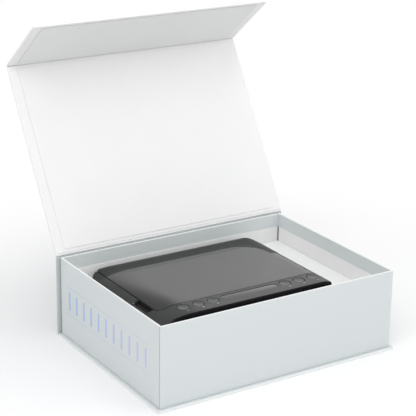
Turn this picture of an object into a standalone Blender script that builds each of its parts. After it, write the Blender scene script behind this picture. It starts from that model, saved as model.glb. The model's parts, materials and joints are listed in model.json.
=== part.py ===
"""UV sanitizer with built-in speaker, lying in its rigid presentation box.

Units are metres, +Z is up, +X runs along the long front side and +Y goes to
the hinge side of the box. The origin is on the underside of the base board,
at the middle of the tray. The box lid is drawn closed and turned open by the
empty on its hinge line, and the front flap hangs on the lid in the same way.
"""

import math

import bmesh
import bpy
from mathutils import Matrix, Vector

# General clearances and mesh detail
GAP = 0.0003
OVERRUN = 0.001
CORNER_STEPS = 7
ROUND_STEPS = 24
SMALL_ROUND_STEPS = 12
SQUARE_RADIUS = 0.00005

# Presentation box
TRAY_LENGTH = 0.300
TRAY_DEPTH = 0.2205
TRAY_HEIGHT = 0.0922
BOARD = 0.0023
COVER_MARGIN = 0.004
SPINE_GAP = 0.0013
LINING = 0.0003
LINING_MARGIN = 0.0115
WALL_LINING = 0.0005
WALL_LINING_HEIGHT = 0.074
CREASE_RADIUS = 0.0011
LID_OPEN_ANGLE = math.radians(121.1)
FLAP_OPEN_ANGLE = math.radians(8.0)
MAGNET_RADIUS = 0.0065
MAGNET_DEPTH = 0.0015
MAGNET_SPACING = 0.180
MAGNET_DROP = 0.046
PLATE_LENGTH = 0.024
PLATE_HEIGHT = 0.016
PLATE_THICKNESS = 0.0009

# Card insert
CARD = 0.001
PLATFORM_HEIGHT = 0.058
WELL_CLEARANCE = 0.0008
WELL_FLOOR_HEIGHT = 0.0162

# Sanitizer body, and its margins in plan to the outside of the tray
MARGIN_LEFT = 0.0235
MARGIN_RIGHT = 0.0514
MARGIN_FRONT = 0.03975
MARGIN_BACK = 0.00725
BODY_FRONT_RADIUS = 0.012
BODY_BACK_RADIUS = 0.032
BODY_BOTTOM_RADIUS = 0.005
BODY_HEIGHT = 0.0600
BODY_WALL = 0.0022
DECK_HEIGHT = 0.0170
LEDGE_DROP = 0.0115
LEDGE_THICKNESS = 0.0046

# How far the top falls towards each side, and over what width
LEFT_FALL = 0.0080
LEFT_FALL_WIDTH = 0.042
RIGHT_FALL = 0.0035
RIGHT_FALL_WIDTH = 0.014
BACK_FALL = 0.0055
BACK_FALL_WIDTH = 0.016
EDGE_ROUND = 0.0022

# Sanitizer lid, and what the deck keeps at its left, right and front
SHOULDER_WIDTH = 0.0145
HINGE_STRIP_WIDTH = 0.0062
STRIP_DEPTH = 0.0309
LID_CORNER_RADIUS = 0.007
GROOVE = 0.0006
LID_WALL = 0.0020
LINER_THICKNESS = 0.0016
LINER_LIFT = 0.0015
SEAL_WIDTH = 0.0024

# Lid hinge along the right edge
HINGE_INSET = 0.0023
HINGE_DROP = 0.0097
KNUCKLE_RADIUS = 0.0022
PIN_RADIUS = 0.0009
PIN_CLEARANCE = 0.0003
HINGE_SETBACK = 0.0096
HINGE_LENGTH = 0.0720
KNUCKLES = 5
LEAF = 0.0010
LIP_CLEARANCE = 0.0005

# Chamber for the phone
CHAMBER_MARGIN_LEFT = 0.0090
CHAMBER_MARGIN_RIGHT = 0.0085
CHAMBER_MARGIN_FRONT = 0.0085
CHAMBER_MARGIN_BACK = 0.0125
CHAMBER_RADIUS = 0.014
CHAMBER_DEPTH = 0.0350
CHAMBER_WALL = 0.0016
SHELF_THICKNESS = 0.0020
SHELF_LIFT = 0.0055
SHELF_MARGIN = 0.0050
SHELF_POST = 0.0050
SHELF_SLOT = 0.0060
SHELF_SLOTS = 7

# Lamps
LAMP_BOARD = 0.0012
LAMP_BOARD_WIDTH = 0.012
LAMP_BOARD_LENGTH = 0.130
LAMP_SIZE = 0.0046
LAMP_HEIGHT = 0.0008
LAMPS_PER_BOARD = 4
WINDOW_LENGTH = 0.124
WINDOW_WIDTH = 0.0090

# Control strip
KEY_RADIUS = 0.0063
KEY_CLEARANCE = 0.0004
KEY_HEIGHT = 0.0026
KEY_SINK = 0.0003
KEY_STEM_RADIUS = 0.0016
KEY_STEM = 0.0012
KEY_TRAVEL = 0.0008
KEY_ROW = 0.0099
KEY_MARGIN_LEFT = 0.0406
KEY_MARGIN_RIGHT = 0.0147
KEY_PITCH = 0.0188
KEYS_PER_SIDE = 3
BAR_MARGIN = 0.0108
BAR_WIDTH = 0.0096
BAR_HEIGHT = 0.0030
SWITCH_SIZE = 0.0060
SWITCH_HEIGHT = 0.0028
KEY_BOARD = 0.0012
KEY_BOARD_WIDTH = 0.018

# Thumb recess in the left shoulder
NOTCH_SETBACK = 0.0066
NOTCH_LENGTH = 0.0310
NOTCH_WIDTH = 0.0085
NOTCH_DEPTH = 0.0072
NOTCH_WALL = 0.0014
GRIP_THICKNESS = 0.0014
GRIP_RIBS = 8
GRIP_RIB_HEIGHT = 0.0009
CATCH_LENGTH = 0.0030
CATCH_THICKNESS = 0.0009
CATCH_HEIGHT = 0.0020

# Front grille and speakers
GRILLE_SIDE_MARGIN = 0.0135
GRILLE_TOP_MARGIN = 0.0032
GRILLE_BOTTOM_MARGIN = 0.0070
GRILLE_THICKNESS = 0.0016
GRILLE_RECESS = 0.0006
GRILLE_SLOT = 0.0018
GRILLE_SLOT_PITCH = 0.0040
GRILLE_SLOTS = 9
GRILLE_SLOT_LENGTH = 0.036
SPEAKER_RADIUS = 0.0180
SPEAKER_MARGIN = 0.05255
SPEAKER_RIM = 0.0020
SPEAKER_DEPTH = 0.0120
SPEAKER_MAGNET_RADIUS = 0.0110
SPEAKER_MAGNET_DEPTH = 0.0070
SPEAKER_CONE_DEPTH = 0.0060
CONE_THICKNESS = 0.0006

# Boards and power inside the base
MAIN_BOARD_LENGTH = 0.110
MAIN_BOARD_WIDTH = 0.056
MAIN_BOARD = 0.0016
MAIN_BOARD_SHIFT = -0.00625
POST_RADIUS = 0.0030
POST_HEIGHT = 0.0030
CHIP = 0.0012
COIL_RADIUS = 0.022
COIL_HOLE_RADIUS = 0.010
COIL_THICKNESS = 0.0011
SHIELD_THICKNESS = 0.0010
INLET_WIDTH = 0.0100
INLET_HEIGHT = 0.0100
INLET_DEPTH = 0.0120
INLET_BORE_RADIUS = 0.0031
INLET_BORE_DEPTH = 0.0090
INLET_OFFSET = -0.045
INLET_RISE = 0.0130

# Feet, screws and lid switch
FOOT_RADIUS = 0.0065
FOOT_HEIGHT = 0.0016
FOOT_SINK = 0.0006
FOOT_INSET = 0.020
SCREW_HEAD_RADIUS = 0.0027
SCREW_HEAD = 0.0014
SCREW_RADIUS = 0.0013
SCREW_LENGTH = 0.0070
SCREW_INSET = 0.034
BOSS_RADIUS = 0.0036
LID_MAGNET_LENGTH = 0.010
LID_MAGNET_WIDTH = 0.0040
LID_MAGNET_HEIGHT = 0.0025
SENSOR_LENGTH = 0.009
SENSOR_WIDTH = 0.0030
SENSOR_HEIGHT = 0.0024

# Places in plan that follow
BODY_LEFT = -TRAY_LENGTH / 2 + MARGIN_LEFT
BODY_RIGHT = TRAY_LENGTH / 2 - MARGIN_RIGHT
BODY_FRONT = -TRAY_DEPTH / 2 + MARGIN_FRONT
BODY_BACK = TRAY_DEPTH / 2 - MARGIN_BACK
BODY_MIDDLE_X = (BODY_LEFT + BODY_RIGHT) / 2
BODY_MIDDLE_Y = (BODY_FRONT + BODY_BACK) / 2
LID_LEFT = BODY_LEFT + SHOULDER_WIDTH
LID_RIGHT = BODY_RIGHT - HINGE_STRIP_WIDTH
LID_FRONT = BODY_FRONT + STRIP_DEPTH
HINGE_FRONT = LID_FRONT + HINGE_SETBACK
NOTCH_FRONT = LID_FRONT + NOTCH_SETBACK
MAIN_BOARD_Y = BODY_MIDDLE_Y + MAIN_BOARD_SHIFT
KEY_LEFT = BODY_LEFT + KEY_MARGIN_LEFT
KEY_RIGHT = BODY_RIGHT - KEY_MARGIN_RIGHT
KEY_MIDDLE = (KEY_LEFT + KEY_RIGHT) / 2
KEY_FIRST = (KEY_RIGHT - KEY_LEFT) / 2 - KEY_PITCH * (KEYS_PER_SIDE - 1)
BAR_LENGTH = 2 * (KEY_FIRST - BAR_MARGIN)
CHAMBER_MIDDLE_X = (LID_LEFT + CHAMBER_MARGIN_LEFT + LID_RIGHT - CHAMBER_MARGIN_RIGHT) / 2
CHAMBER_MIDDLE_Y = (LID_FRONT + CHAMBER_MARGIN_FRONT + BODY_BACK - CHAMBER_MARGIN_BACK) / 2

# Heights that follow
TRAY_BOTTOM = BOARD + GAP
TRAY_TOP = TRAY_BOTTOM + TRAY_HEIGHT
TRAY_FLOOR = TRAY_BOTTOM + BOARD
PLATFORM_TOP = TRAY_BOTTOM + PLATFORM_HEIGHT
WELL_FLOOR = TRAY_BOTTOM + WELL_FLOOR_HEIGHT
BODY_BOTTOM = WELL_FLOOR + GAP + FOOT_HEIGHT - FOOT_SINK
BODY_TOP = BODY_BOTTOM + BODY_HEIGHT
DECK_BOTTOM = BODY_TOP - DECK_HEIGHT
LEDGE_TOP = BODY_TOP - LEDGE_DROP
LEDGE_BOTTOM = LEDGE_TOP - LEDGE_THICKNESS
LID_BOTTOM = LEDGE_TOP + GAP
LINER_BOTTOM = LID_BOTTOM + LINER_LIFT
LINER_TOP = LINER_BOTTOM + LINER_THICKNESS
HINGE_X = BODY_RIGHT - HINGE_INSET
HINGE_Z = BODY_TOP - HINGE_DROP
CHAMBER_FLOOR = LEDGE_TOP - CHAMBER_DEPTH
COVER_HINGE_Y = TRAY_DEPTH / 2 + SPINE_GAP + BOARD / 2
COVER_HINGE_Z = TRAY_TOP + GAP + LINING + GAP + BOARD / 2
FLAP_HINGE_Y = -(TRAY_DEPTH / 2 + GAP + LINING + GAP + BOARD / 2 + GAP)
HINGE_REACH = CREASE_RADIUS + GAP

CORNER_NAMES = ("front_left", "front_right", "back_right", "back_left")
COLOURS = {
    "paper": ((0.62, 0.66, 0.66), 0.75, 0.0),
    "white_card": ((0.82, 0.82, 0.81), 0.7, 0.0),
    "black_shell": ((0.025, 0.025, 0.026), 0.28, 0.0),
    "black_matte": ((0.012, 0.012, 0.012), 0.6, 0.0),
    "rubber": ((0.02, 0.02, 0.02), 0.85, 0.0),
    "steel": ((0.55, 0.55, 0.56), 0.3, 1.0),
    "magnet": ((0.35, 0.35, 0.37), 0.35, 1.0),
    "copper": ((0.75, 0.36, 0.18), 0.35, 1.0),
    "board_green": ((0.03, 0.16, 0.07), 0.5, 0.0),
    "white_plastic": ((0.75, 0.75, 0.74), 0.4, 0.0),
    "lamp_lens": ((0.78, 0.82, 0.95), 0.1, 0.0),
    "grey_key": ((0.05, 0.05, 0.052), 0.35, 0.0),
}


def clear_scene():
    """Remove every object that the file starts with."""
    for old in list(bpy.data.objects):
        bpy.data.objects.remove(old, do_unlink=True)


def material_for(name, kind):
    """Give one object its own Principled material."""
    colour, roughness, metallic = COLOURS[kind]
    material = bpy.data.materials.new(name + "_finish")
    material.use_nodes = True
    shader = material.node_tree.nodes["Principled BSDF"]
    shader.inputs["Base Color"].default_value = (*colour, 1.0)
    shader.inputs["Roughness"].default_value = roughness
    shader.inputs["Metallic"].default_value = metallic
    return material


def finish_mesh(name, mesh_data, kind, pivot):
    """Turn a bmesh into an object, with normals out and its pivot as parent."""
    bmesh.ops.remove_doubles(mesh_data, verts=mesh_data.verts, dist=SQUARE_RADIUS / 100)
    bmesh.ops.recalc_face_normals(mesh_data, faces=mesh_data.faces)
    mesh = bpy.data.meshes.new(name)
    mesh_data.to_mesh(mesh)
    mesh_data.free()
    piece = bpy.data.objects.new(name, mesh)
    bpy.context.scene.collection.objects.link(piece)
    if kind:
        piece.data.materials.append(material_for(name, kind))
    if pivot:
        parented(piece, pivot)
    return piece


def pivot_inverse(pivot):
    """Undo the drawn place of a pivot, so that its pieces are drawn in place."""
    return Matrix.Translation(-Vector(pivot["drawn_at"]))


def parented(piece, pivot):
    """Hang a piece or a guide shape on a pivot, in its drawn place."""
    piece.parent = pivot
    piece.matrix_parent_inverse = pivot_inverse(pivot)
    return piece


def make_pivot(name, place, parent=None):
    """An empty on a joint's axis, drawn at its closed place."""
    pivot = bpy.data.objects.new(name, None)
    pivot["drawn_at"] = place
    pivot.location = place
    if parent:
        pivot.parent = parent
        pivot.matrix_parent_inverse = pivot_inverse(parent)
    bpy.context.scene.collection.objects.link(pivot)
    return pivot


def rounded_loop(left, right, front, back, radii, height, steps=CORNER_STEPS):
    """Points round a rectangle whose corners are arcs, seen from above.

    radii are for the front-left, front-right, back-right and back-left
    corners. height is a number, or a function of x and y.
    """
    corners = (
        (left, front, 1, 1, math.pi),
        (right, front, -1, 1, 1.5 * math.pi),
        (right, back, -1, -1, 0.0),
        (left, back, 1, -1, 0.5 * math.pi),
    )
    points = []
    for (x, y, side_x, side_y, start), radius in zip(corners, radii):
        radius = max(radius, SQUARE_RADIUS)
        for step in range(steps + 1):
            angle = start + 0.5 * math.pi * step / steps
            px = x + side_x * radius + radius * math.cos(angle)
            py = y + side_y * radius + radius * math.sin(angle)
            pz = height(px, py) if callable(height) else height
            points.append((px, py, pz))
    return points


def square_loop(left, right, front, back, height):
    """Four corners of a level rectangle."""
    return [(left, front, height), (right, front, height), (right, back, height), (left, back, height)]


def add_loft(mesh_data, loops, ring=False):
    """Skin a row of loops with equal point counts, capped unless it is a ring."""
    rows = [[mesh_data.verts.new(point) for point in loop] for loop in loops]
    count = len(rows[0])
    pairs = list(zip(rows, rows[1:]))
    if ring:
        pairs.append((rows[-1], rows[0]))
    for lower, upper in pairs:
        for index in range(count):
            after = (index + 1) % count
            mesh_data.faces.new((lower[index], lower[after], upper[after], upper[index]))
    if not ring:
        mesh_data.faces.new(list(reversed(rows[0])))
        mesh_data.faces.new(rows[-1])


def loft(name, loops, kind, pivot=None, ring=False):
    """One object from a row of loops."""
    mesh_data = bmesh.new()
    add_loft(mesh_data, loops, ring)
    return finish_mesh(name, mesh_data, kind, pivot)


def add_block(mesh_data, low, high):
    """A plain block between two corners."""
    add_loft(mesh_data, [
        square_loop(low[0], high[0], low[1], high[1], low[2]),
        square_loop(low[0], high[0], low[1], high[1], high[2]),
    ])


def add_turned(mesh_data, centre, axis, profile, steps=ROUND_STEPS, ring=False):
    """Turn a profile of (distance along the axis, radius) pairs."""
    frame = {"X": ((0, 1, 0), (0, 0, 1), (1, 0, 0)), "Y": ((0, 0, 1), (1, 0, 0), (0, 1, 0)),
             "Z": ((1, 0, 0), (0, 1, 0), (0, 0, 1))}[axis]
    across, upward, along = (Vector(part) for part in frame)
    loops = []
    for distance, radius in profile:
        loop = []
        for step in range(steps):
            angle = 2 * math.pi * step / steps
            offset = across * math.cos(angle) * radius + upward * math.sin(angle) * radius
            loop.append(tuple(Vector(centre) + offset + along * distance))
        loops.append(loop)
    add_loft(mesh_data, loops, ring)


def blocks(name, corners, kind, pivot=None):
    """One object of separate blocks."""
    mesh_data = bmesh.new()
    for low, high in corners:
        add_block(mesh_data, low, high)
    return finish_mesh(name, mesh_data, kind, pivot)


def discs(name, places, axis, profile, kind, pivot=None, steps=ROUND_STEPS, ring=False):
    """One object of equal turned pieces, at several places."""
    mesh_data = bmesh.new()
    for place in places:
        add_turned(mesh_data, place, axis, profile, steps, ring)
    return finish_mesh(name, mesh_data, kind, pivot)


def as_cutter(piece):
    """Mark a guide shape so that it isn't part of the model."""
    piece.hide_render = True
    piece.display_type = "WIRE"
    return piece


def combine(target, tool, operation="DIFFERENCE"):
    """Cut, join or intersect with a guide shape."""
    modifier = target.modifiers.new(tool.name, "BOOLEAN")
    modifier.operation = operation
    modifier.solver = "EXACT"
    modifier.object = as_cutter(tool)
    return target


def top_height(x, y):
    """Height of the sanitizer's top: level, and falling off at three sides."""
    left = max(0.0, 1 - (x - BODY_LEFT) / LEFT_FALL_WIDTH)
    right = max(0.0, 1 - (BODY_RIGHT - x) / RIGHT_FALL_WIDTH)
    back = max(0.0, 1 - (BODY_BACK - y) / BACK_FALL_WIDTH)
    return BODY_TOP - math.hypot(LEFT_FALL * left ** 2, RIGHT_FALL * right ** 2, BACK_FALL * back ** 2)


def body_loop(inset, height):
    """The body's outline in plan, drawn in by an inset."""
    radii = (BODY_FRONT_RADIUS - inset, BODY_FRONT_RADIUS - inset, BODY_BACK_RADIUS - inset,
             BODY_BACK_RADIUS - inset)
    left, right = BODY_LEFT + inset, BODY_RIGHT - inset
    front, back = BODY_FRONT + inset, BODY_BACK - inset
    return rounded_loop(left, right, front, back, radii, height)


def body_cap(name, bottom, inset, sink, kind, pivot=None):
    """A solid under the crowned top, from a level bottom, for shells and hollows."""
    loops = [body_loop(inset, bottom)]
    edge_drops = ((0.0, EDGE_ROUND), (0.3 * EDGE_ROUND, 0.3 * EDGE_ROUND), (EDGE_ROUND, 0.0))
    for extra, drop in edge_drops:
        loops.append(body_loop(inset + extra, lambda x, y, d=drop: top_height(x, y) - sink - d))
    inner_shares = (0.15, 0.3, 0.55, 1.0)
    for share in inner_shares:
        loops.append(body_loop(inset + share * LEFT_FALL_WIDTH, lambda x, y: top_height(x, y) - sink))
    return loft(name, loops, kind, pivot)


def lid_zone(name, offset, bottom):
    """The part of the plan that the lid takes, open to the right and the back."""
    radii = (LID_CORNER_RADIUS + offset, SQUARE_RADIUS, SQUARE_RADIUS, SQUARE_RADIUS)
    far_back = BODY_BACK + BODY_WALL
    top = BODY_TOP + BODY_WALL
    loops = []
    left, right, front = LID_LEFT - offset, LID_RIGHT + offset, LID_FRONT - offset
    for height in (bottom, top):
        loops.append(rounded_loop(left, right, front, far_back, radii, height))
    return loft(name, loops, None)


def chamber_loop(inset, height):
    """The chamber's outline in plan, drawn in by an inset."""
    radii = (CHAMBER_RADIUS - inset,) * 4
    return rounded_loop(
        LID_LEFT + CHAMBER_MARGIN_LEFT + inset, LID_RIGHT - CHAMBER_MARGIN_RIGHT - inset,
        LID_FRONT + CHAMBER_MARGIN_FRONT + inset, BODY_BACK - CHAMBER_MARGIN_BACK - inset, radii, height)


def key_places():
    """Centres of the six keys along the control strip, left to right."""
    offsets = [KEY_FIRST + KEY_PITCH * index for index in range(KEYS_PER_SIDE)]
    middle_y = LID_FRONT - KEY_ROW
    left = [(KEY_MIDDLE - offset, middle_y) for offset in reversed(offsets)]
    right = [(KEY_MIDDLE + offset, middle_y) for offset in offsets]
    return left + right


def speaker_places():
    """Middle of each speaker's front rim."""
    front = BODY_FRONT + BODY_WALL + GAP
    height = BODY_BOTTOM + BODY_BOTTOM_RADIUS + GAP + SPEAKER_RADIUS
    return {
        "left": (BODY_LEFT + SPEAKER_MARGIN, front, height),
        "right": (BODY_RIGHT - SPEAKER_MARGIN, front, height),
    }


def grille_limits(clearance):
    """Left, right, bottom and top of the grille opening, drawn in by a clearance."""
    return (
        BODY_LEFT + GRILLE_SIDE_MARGIN + clearance, BODY_RIGHT - GRILLE_SIDE_MARGIN - clearance,
        BODY_BOTTOM + GRILLE_BOTTOM_MARGIN + clearance, BODY_TOP - GRILLE_TOP_MARGIN - clearance)


def corner_places(inset, height):
    """Four places near the body's corners."""
    left, right = BODY_LEFT + inset, BODY_RIGHT - inset
    front, back = BODY_FRONT + inset, BODY_BACK - inset
    return [(left, front, height), (right, front, height), (right, back, height), (left, back, height)]


def sides():
    """Name and middle of each magnet pair along the front of the box."""
    return (("left", -MAGNET_SPACING / 2), ("right", MAGNET_SPACING / 2))


def build_tray():
    """The tray: greyboard floor and walls, with the plates that catch the flap."""
    half_x, half_y = TRAY_LENGTH / 2, TRAY_DEPTH / 2
    inner_x, inner_y = half_x - BOARD, half_y - BOARD
    tray = loft("tray", [
        square_loop(-half_x, half_x, -half_y, half_y, TRAY_BOTTOM),
        square_loop(-half_x, half_x, -half_y, half_y, TRAY_TOP),
        square_loop(-inner_x, inner_x, -inner_y, inner_y, TRAY_TOP),
        square_loop(-inner_x, inner_x, -inner_y, inner_y, TRAY_FLOOR),
    ], "paper")
    plate_z = COVER_HINGE_Z - MAGNET_DROP
    pockets = []
    for side, middle in sides():
        left, right = middle - PLATE_LENGTH / 2, middle + PLATE_LENGTH / 2
        low, high = plate_z - PLATE_HEIGHT / 2, plate_z + PLATE_HEIGHT / 2
        front, back = -inner_y - PLATE_THICKNESS, -inner_y
        pockets.append(((left - GAP, front - GAP, low - GAP), (right + GAP, back + OVERRUN, high + GAP)))
        blocks("tray_steel_plate_" + side, [((left, front, low), (right, back, high))], "steel")
    combine(tray, blocks("plate_pockets", pockets, None))
    out_x, out_y = inner_x - GAP, inner_y - GAP
    in_x, in_y = out_x - WALL_LINING, out_y - WALL_LINING
    low, high = TRAY_FLOOR + GAP, TRAY_FLOOR + WALL_LINING_HEIGHT
    loft("tray_lining", [
        square_loop(-out_x, out_x, -out_y, out_y, low),
        square_loop(-out_x, out_x, -out_y, out_y, high),
        square_loop(-in_x, in_x, -in_y, in_y, high),
        square_loop(-in_x, in_x, -in_y, in_y, low),
    ], "white_card", ring=True)


def build_case():
    """The wrap-round case: base, spine, lid and front flap boards on paper creases."""
    half_x = TRAY_LENGTH / 2 + COVER_MARGIN
    base_back = TRAY_DEPTH / 2 + SPINE_GAP - GAP
    base_front = -(TRAY_DEPTH / 2 + COVER_MARGIN)
    blocks("base_board", [((-half_x, base_front, 0.0), (half_x, base_back, BOARD))], "paper")
    spine_front, spine_back = TRAY_DEPTH / 2 + SPINE_GAP, TRAY_DEPTH / 2 + SPINE_GAP + BOARD
    spine_high = COVER_HINGE_Z - HINGE_REACH
    blocks("spine_board", [((-half_x, spine_front, 0.0), (half_x, spine_back, spine_high))], "paper")
    crease = [(-half_x, CREASE_RADIUS), (half_x, CREASE_RADIUS)]

    cover = make_pivot("case_lid_axis", (0.0, COVER_HINGE_Y, COVER_HINGE_Z))
    flap = make_pivot("front_flap_axis", (0.0, FLAP_HINGE_Y, COVER_HINGE_Z), cover)
    discs("lid_crease", [(0.0, COVER_HINGE_Y, COVER_HINGE_Z)], "X", crease, "paper", cover, SMALL_ROUND_STEPS)
    low, high = COVER_HINGE_Z - BOARD / 2, COVER_HINGE_Z + BOARD / 2
    lid_front, lid_back = FLAP_HINGE_Y + HINGE_REACH, COVER_HINGE_Y - HINGE_REACH
    blocks("case_lid", [((-half_x, lid_front, low), (half_x, lid_back, high))], "paper", cover)
    lining_x = half_x - LINING_MARGIN
    lining_high = low - GAP
    blocks("case_lid_lining", [((-lining_x, lid_front + COVER_MARGIN, lining_high - LINING),
                                (lining_x, lid_back - COVER_MARGIN, lining_high))], "white_card", cover)
    discs("flap_crease", [(0.0, FLAP_HINGE_Y, COVER_HINGE_Z)], "X", crease, "paper", flap, SMALL_ROUND_STEPS)
    flap_outer, flap_inner = FLAP_HINGE_Y - BOARD / 2, FLAP_HINGE_Y + BOARD / 2
    flap_low, flap_high = BOARD + 2 * GAP, COVER_HINGE_Z - HINGE_REACH
    board_corners = ((-half_x, flap_outer, flap_low), (half_x, flap_inner, flap_high))
    board = blocks("front_flap", [board_corners], "paper", flap)
    magnet_z = COVER_HINGE_Z - MAGNET_DROP
    places = [(middle, flap_inner, magnet_z) for _, middle in sides()]
    pocket = [(-MAGNET_DEPTH - GAP, MAGNET_RADIUS + GAP), (OVERRUN, MAGNET_RADIUS + GAP)]
    combine(board, discs("magnet_pockets", places, "Y", pocket, None, flap))
    magnet = [(-MAGNET_DEPTH, MAGNET_RADIUS), (0.0, MAGNET_RADIUS)]
    for (side, _), place in zip(sides(), places):
        discs("flap_magnet_" + side, [place], "Y", magnet, "magnet", flap)
    lining_corners = ((-lining_x, flap_inner + GAP, flap_low + COVER_MARGIN),
                      (lining_x, flap_inner + GAP + LINING, flap_high - GAP))
    blocks("front_flap_lining", [lining_corners], "white_card", flap)
    cover.rotation_euler = (-LID_OPEN_ANGLE, 0.0, 0.0)
    flap.rotation_euler = (-FLAP_OPEN_ANGLE, 0.0, 0.0)


def well_loop(extra, height):
    """The body's outline grown by the well's clearance and a little more."""
    return body_loop(-(WELL_CLEARANCE + extra), height)


def build_insert():
    """The folded card platform, and the raised card floor of its well."""
    out_x = TRAY_LENGTH / 2 - BOARD - GAP - WALL_LINING - GAP
    out_y = TRAY_DEPTH / 2 - BOARD - GAP - WALL_LINING - GAP
    low = TRAY_FLOOR + GAP
    square = (SQUARE_RADIUS,) * 4

    def skirt(inset, height):
        return rounded_loop(-out_x + inset, out_x - inset, -out_y + inset, out_y - inset, square, height)

    loft("insert_platform", [
        skirt(0.0, low), skirt(0.0, PLATFORM_TOP), well_loop(0.0, PLATFORM_TOP), well_loop(0.0, low),
        well_loop(CARD, low), well_loop(CARD, PLATFORM_TOP - CARD),
        skirt(CARD, PLATFORM_TOP - CARD), skirt(CARD, low),
    ], "white_card", ring=True)
    shrink = -(WELL_CLEARANCE - GAP)
    loft("insert_floor", [
        body_loop(shrink + CARD, WELL_FLOOR - CARD), body_loop(shrink + CARD, low),
        body_loop(shrink, low), body_loop(shrink, WELL_FLOOR),
    ], "white_card")


def build_base(lift):
    """The lower housing with its bosses, feet and screws."""
    inner = BODY_WALL
    base_top = DECK_BOTTOM - GAP
    shell = loft("base_shell", [
        body_loop(BODY_BOTTOM_RADIUS, BODY_BOTTOM),
        body_loop(0.3 * BODY_BOTTOM_RADIUS, BODY_BOTTOM + 0.3 * BODY_BOTTOM_RADIUS),
        body_loop(0.0, BODY_BOTTOM + BODY_BOTTOM_RADIUS),
        body_loop(0.0, base_top), body_loop(inner, base_top),
        body_loop(inner, BODY_BOTTOM + BODY_BOTTOM_RADIUS),
        body_loop(inner + BODY_BOTTOM_RADIUS, BODY_BOTTOM + BODY_WALL),
    ], "black_shell", lift)
    left, right, low, high = grille_limits(0.0)
    window = blocks("base_front_window", [((left, BODY_FRONT - OVERRUN, low),
                                           (right, BODY_FRONT + BODY_WALL + OVERRUN, high))], None, lift)
    combine(shell, window)

    floor = BODY_BOTTOM + BODY_WALL
    posts = [(x, y, floor) for x, y in board_post_places()]
    post = [(-BODY_WALL / 2, POST_RADIUS), (POST_HEIGHT, POST_RADIUS)]
    combine(shell, discs("board_posts", posts, "Z", post, None, lift, SMALL_ROUND_STEPS), "UNION")
    screw_places = corner_places(SCREW_INSET, BODY_BOTTOM)
    boss = [(BODY_WALL / 2, BOSS_RADIUS), (SCREW_LENGTH + BODY_WALL, BOSS_RADIUS)]
    combine(shell, discs("screw_bosses", screw_places, "Z", boss, None, lift, SMALL_ROUND_STEPS), "UNION")
    bore = [(-OVERRUN, SCREW_HEAD_RADIUS + GAP), (SCREW_HEAD + GAP, SCREW_HEAD_RADIUS + GAP),
            (SCREW_HEAD + GAP, SCREW_RADIUS + GAP), (SCREW_LENGTH + BODY_WALL + OVERRUN, SCREW_RADIUS + GAP)]
    combine(shell, discs("screw_bores", screw_places, "Z", bore, None, lift, SMALL_ROUND_STEPS))
    screw = [(0.0, SCREW_HEAD_RADIUS), (SCREW_HEAD, SCREW_HEAD_RADIUS), (SCREW_HEAD, SCREW_RADIUS),
             (SCREW_LENGTH, SCREW_RADIUS)]
    for corner, place in zip(CORNER_NAMES, screw_places):
        discs("base_screw_" + corner, [place], "Z", screw, "steel", lift, SMALL_ROUND_STEPS)
    foot_places = corner_places(FOOT_INSET, BODY_BOTTOM + FOOT_SINK)
    seat = [(-FOOT_SINK - OVERRUN, FOOT_RADIUS + GAP), (GAP, FOOT_RADIUS + GAP)]
    combine(shell, discs("foot_seats", foot_places, "Z", seat, None, lift))
    foot = [(-FOOT_HEIGHT, 0.9 * FOOT_RADIUS), (-0.8 * FOOT_HEIGHT, FOOT_RADIUS), (0.0, FOOT_RADIUS)]
    for corner, place in zip(CORNER_NAMES, foot_places):
        discs("rubber_foot_" + corner, [place], "Z", foot, "rubber", lift)

    wall_y = BODY_BACK
    inlet_x = BODY_MIDDLE_X + INLET_OFFSET
    inlet_z = BODY_BOTTOM + INLET_RISE
    hole = ((inlet_x - INLET_WIDTH / 2 - GAP, wall_y - BODY_WALL - OVERRUN, inlet_z - INLET_HEIGHT / 2 - GAP),
            (inlet_x + INLET_WIDTH / 2 + GAP, wall_y + OVERRUN, inlet_z + INLET_HEIGHT / 2 + GAP))
    combine(shell, blocks("inlet_window", [hole], None, lift))
    corners = ((inlet_x - INLET_WIDTH / 2, wall_y - INLET_DEPTH, inlet_z - INLET_HEIGHT / 2),
               (inlet_x + INLET_WIDTH / 2, wall_y, inlet_z + INLET_HEIGHT / 2))
    body = blocks("power_inlet", [corners], "black_matte", lift)
    bore = [(-INLET_BORE_DEPTH, INLET_BORE_RADIUS), (OVERRUN, INLET_BORE_RADIUS)]
    combine(body, discs("inlet_bore", [(inlet_x, wall_y, inlet_z)], "Y", bore, None, lift, SMALL_ROUND_STEPS))


def board_post_places():
    """Where the main board stands on the lower housing."""
    middle_x = BODY_MIDDLE_X
    reach_x = MAIN_BOARD_LENGTH / 2 - 2 * POST_RADIUS
    reach_y = MAIN_BOARD_WIDTH / 2 - 2 * POST_RADIUS
    return [(middle_x + sx * reach_x, MAIN_BOARD_Y + sy * reach_y) for sx in (-1, 1) for sy in (-1, 1)]


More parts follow.
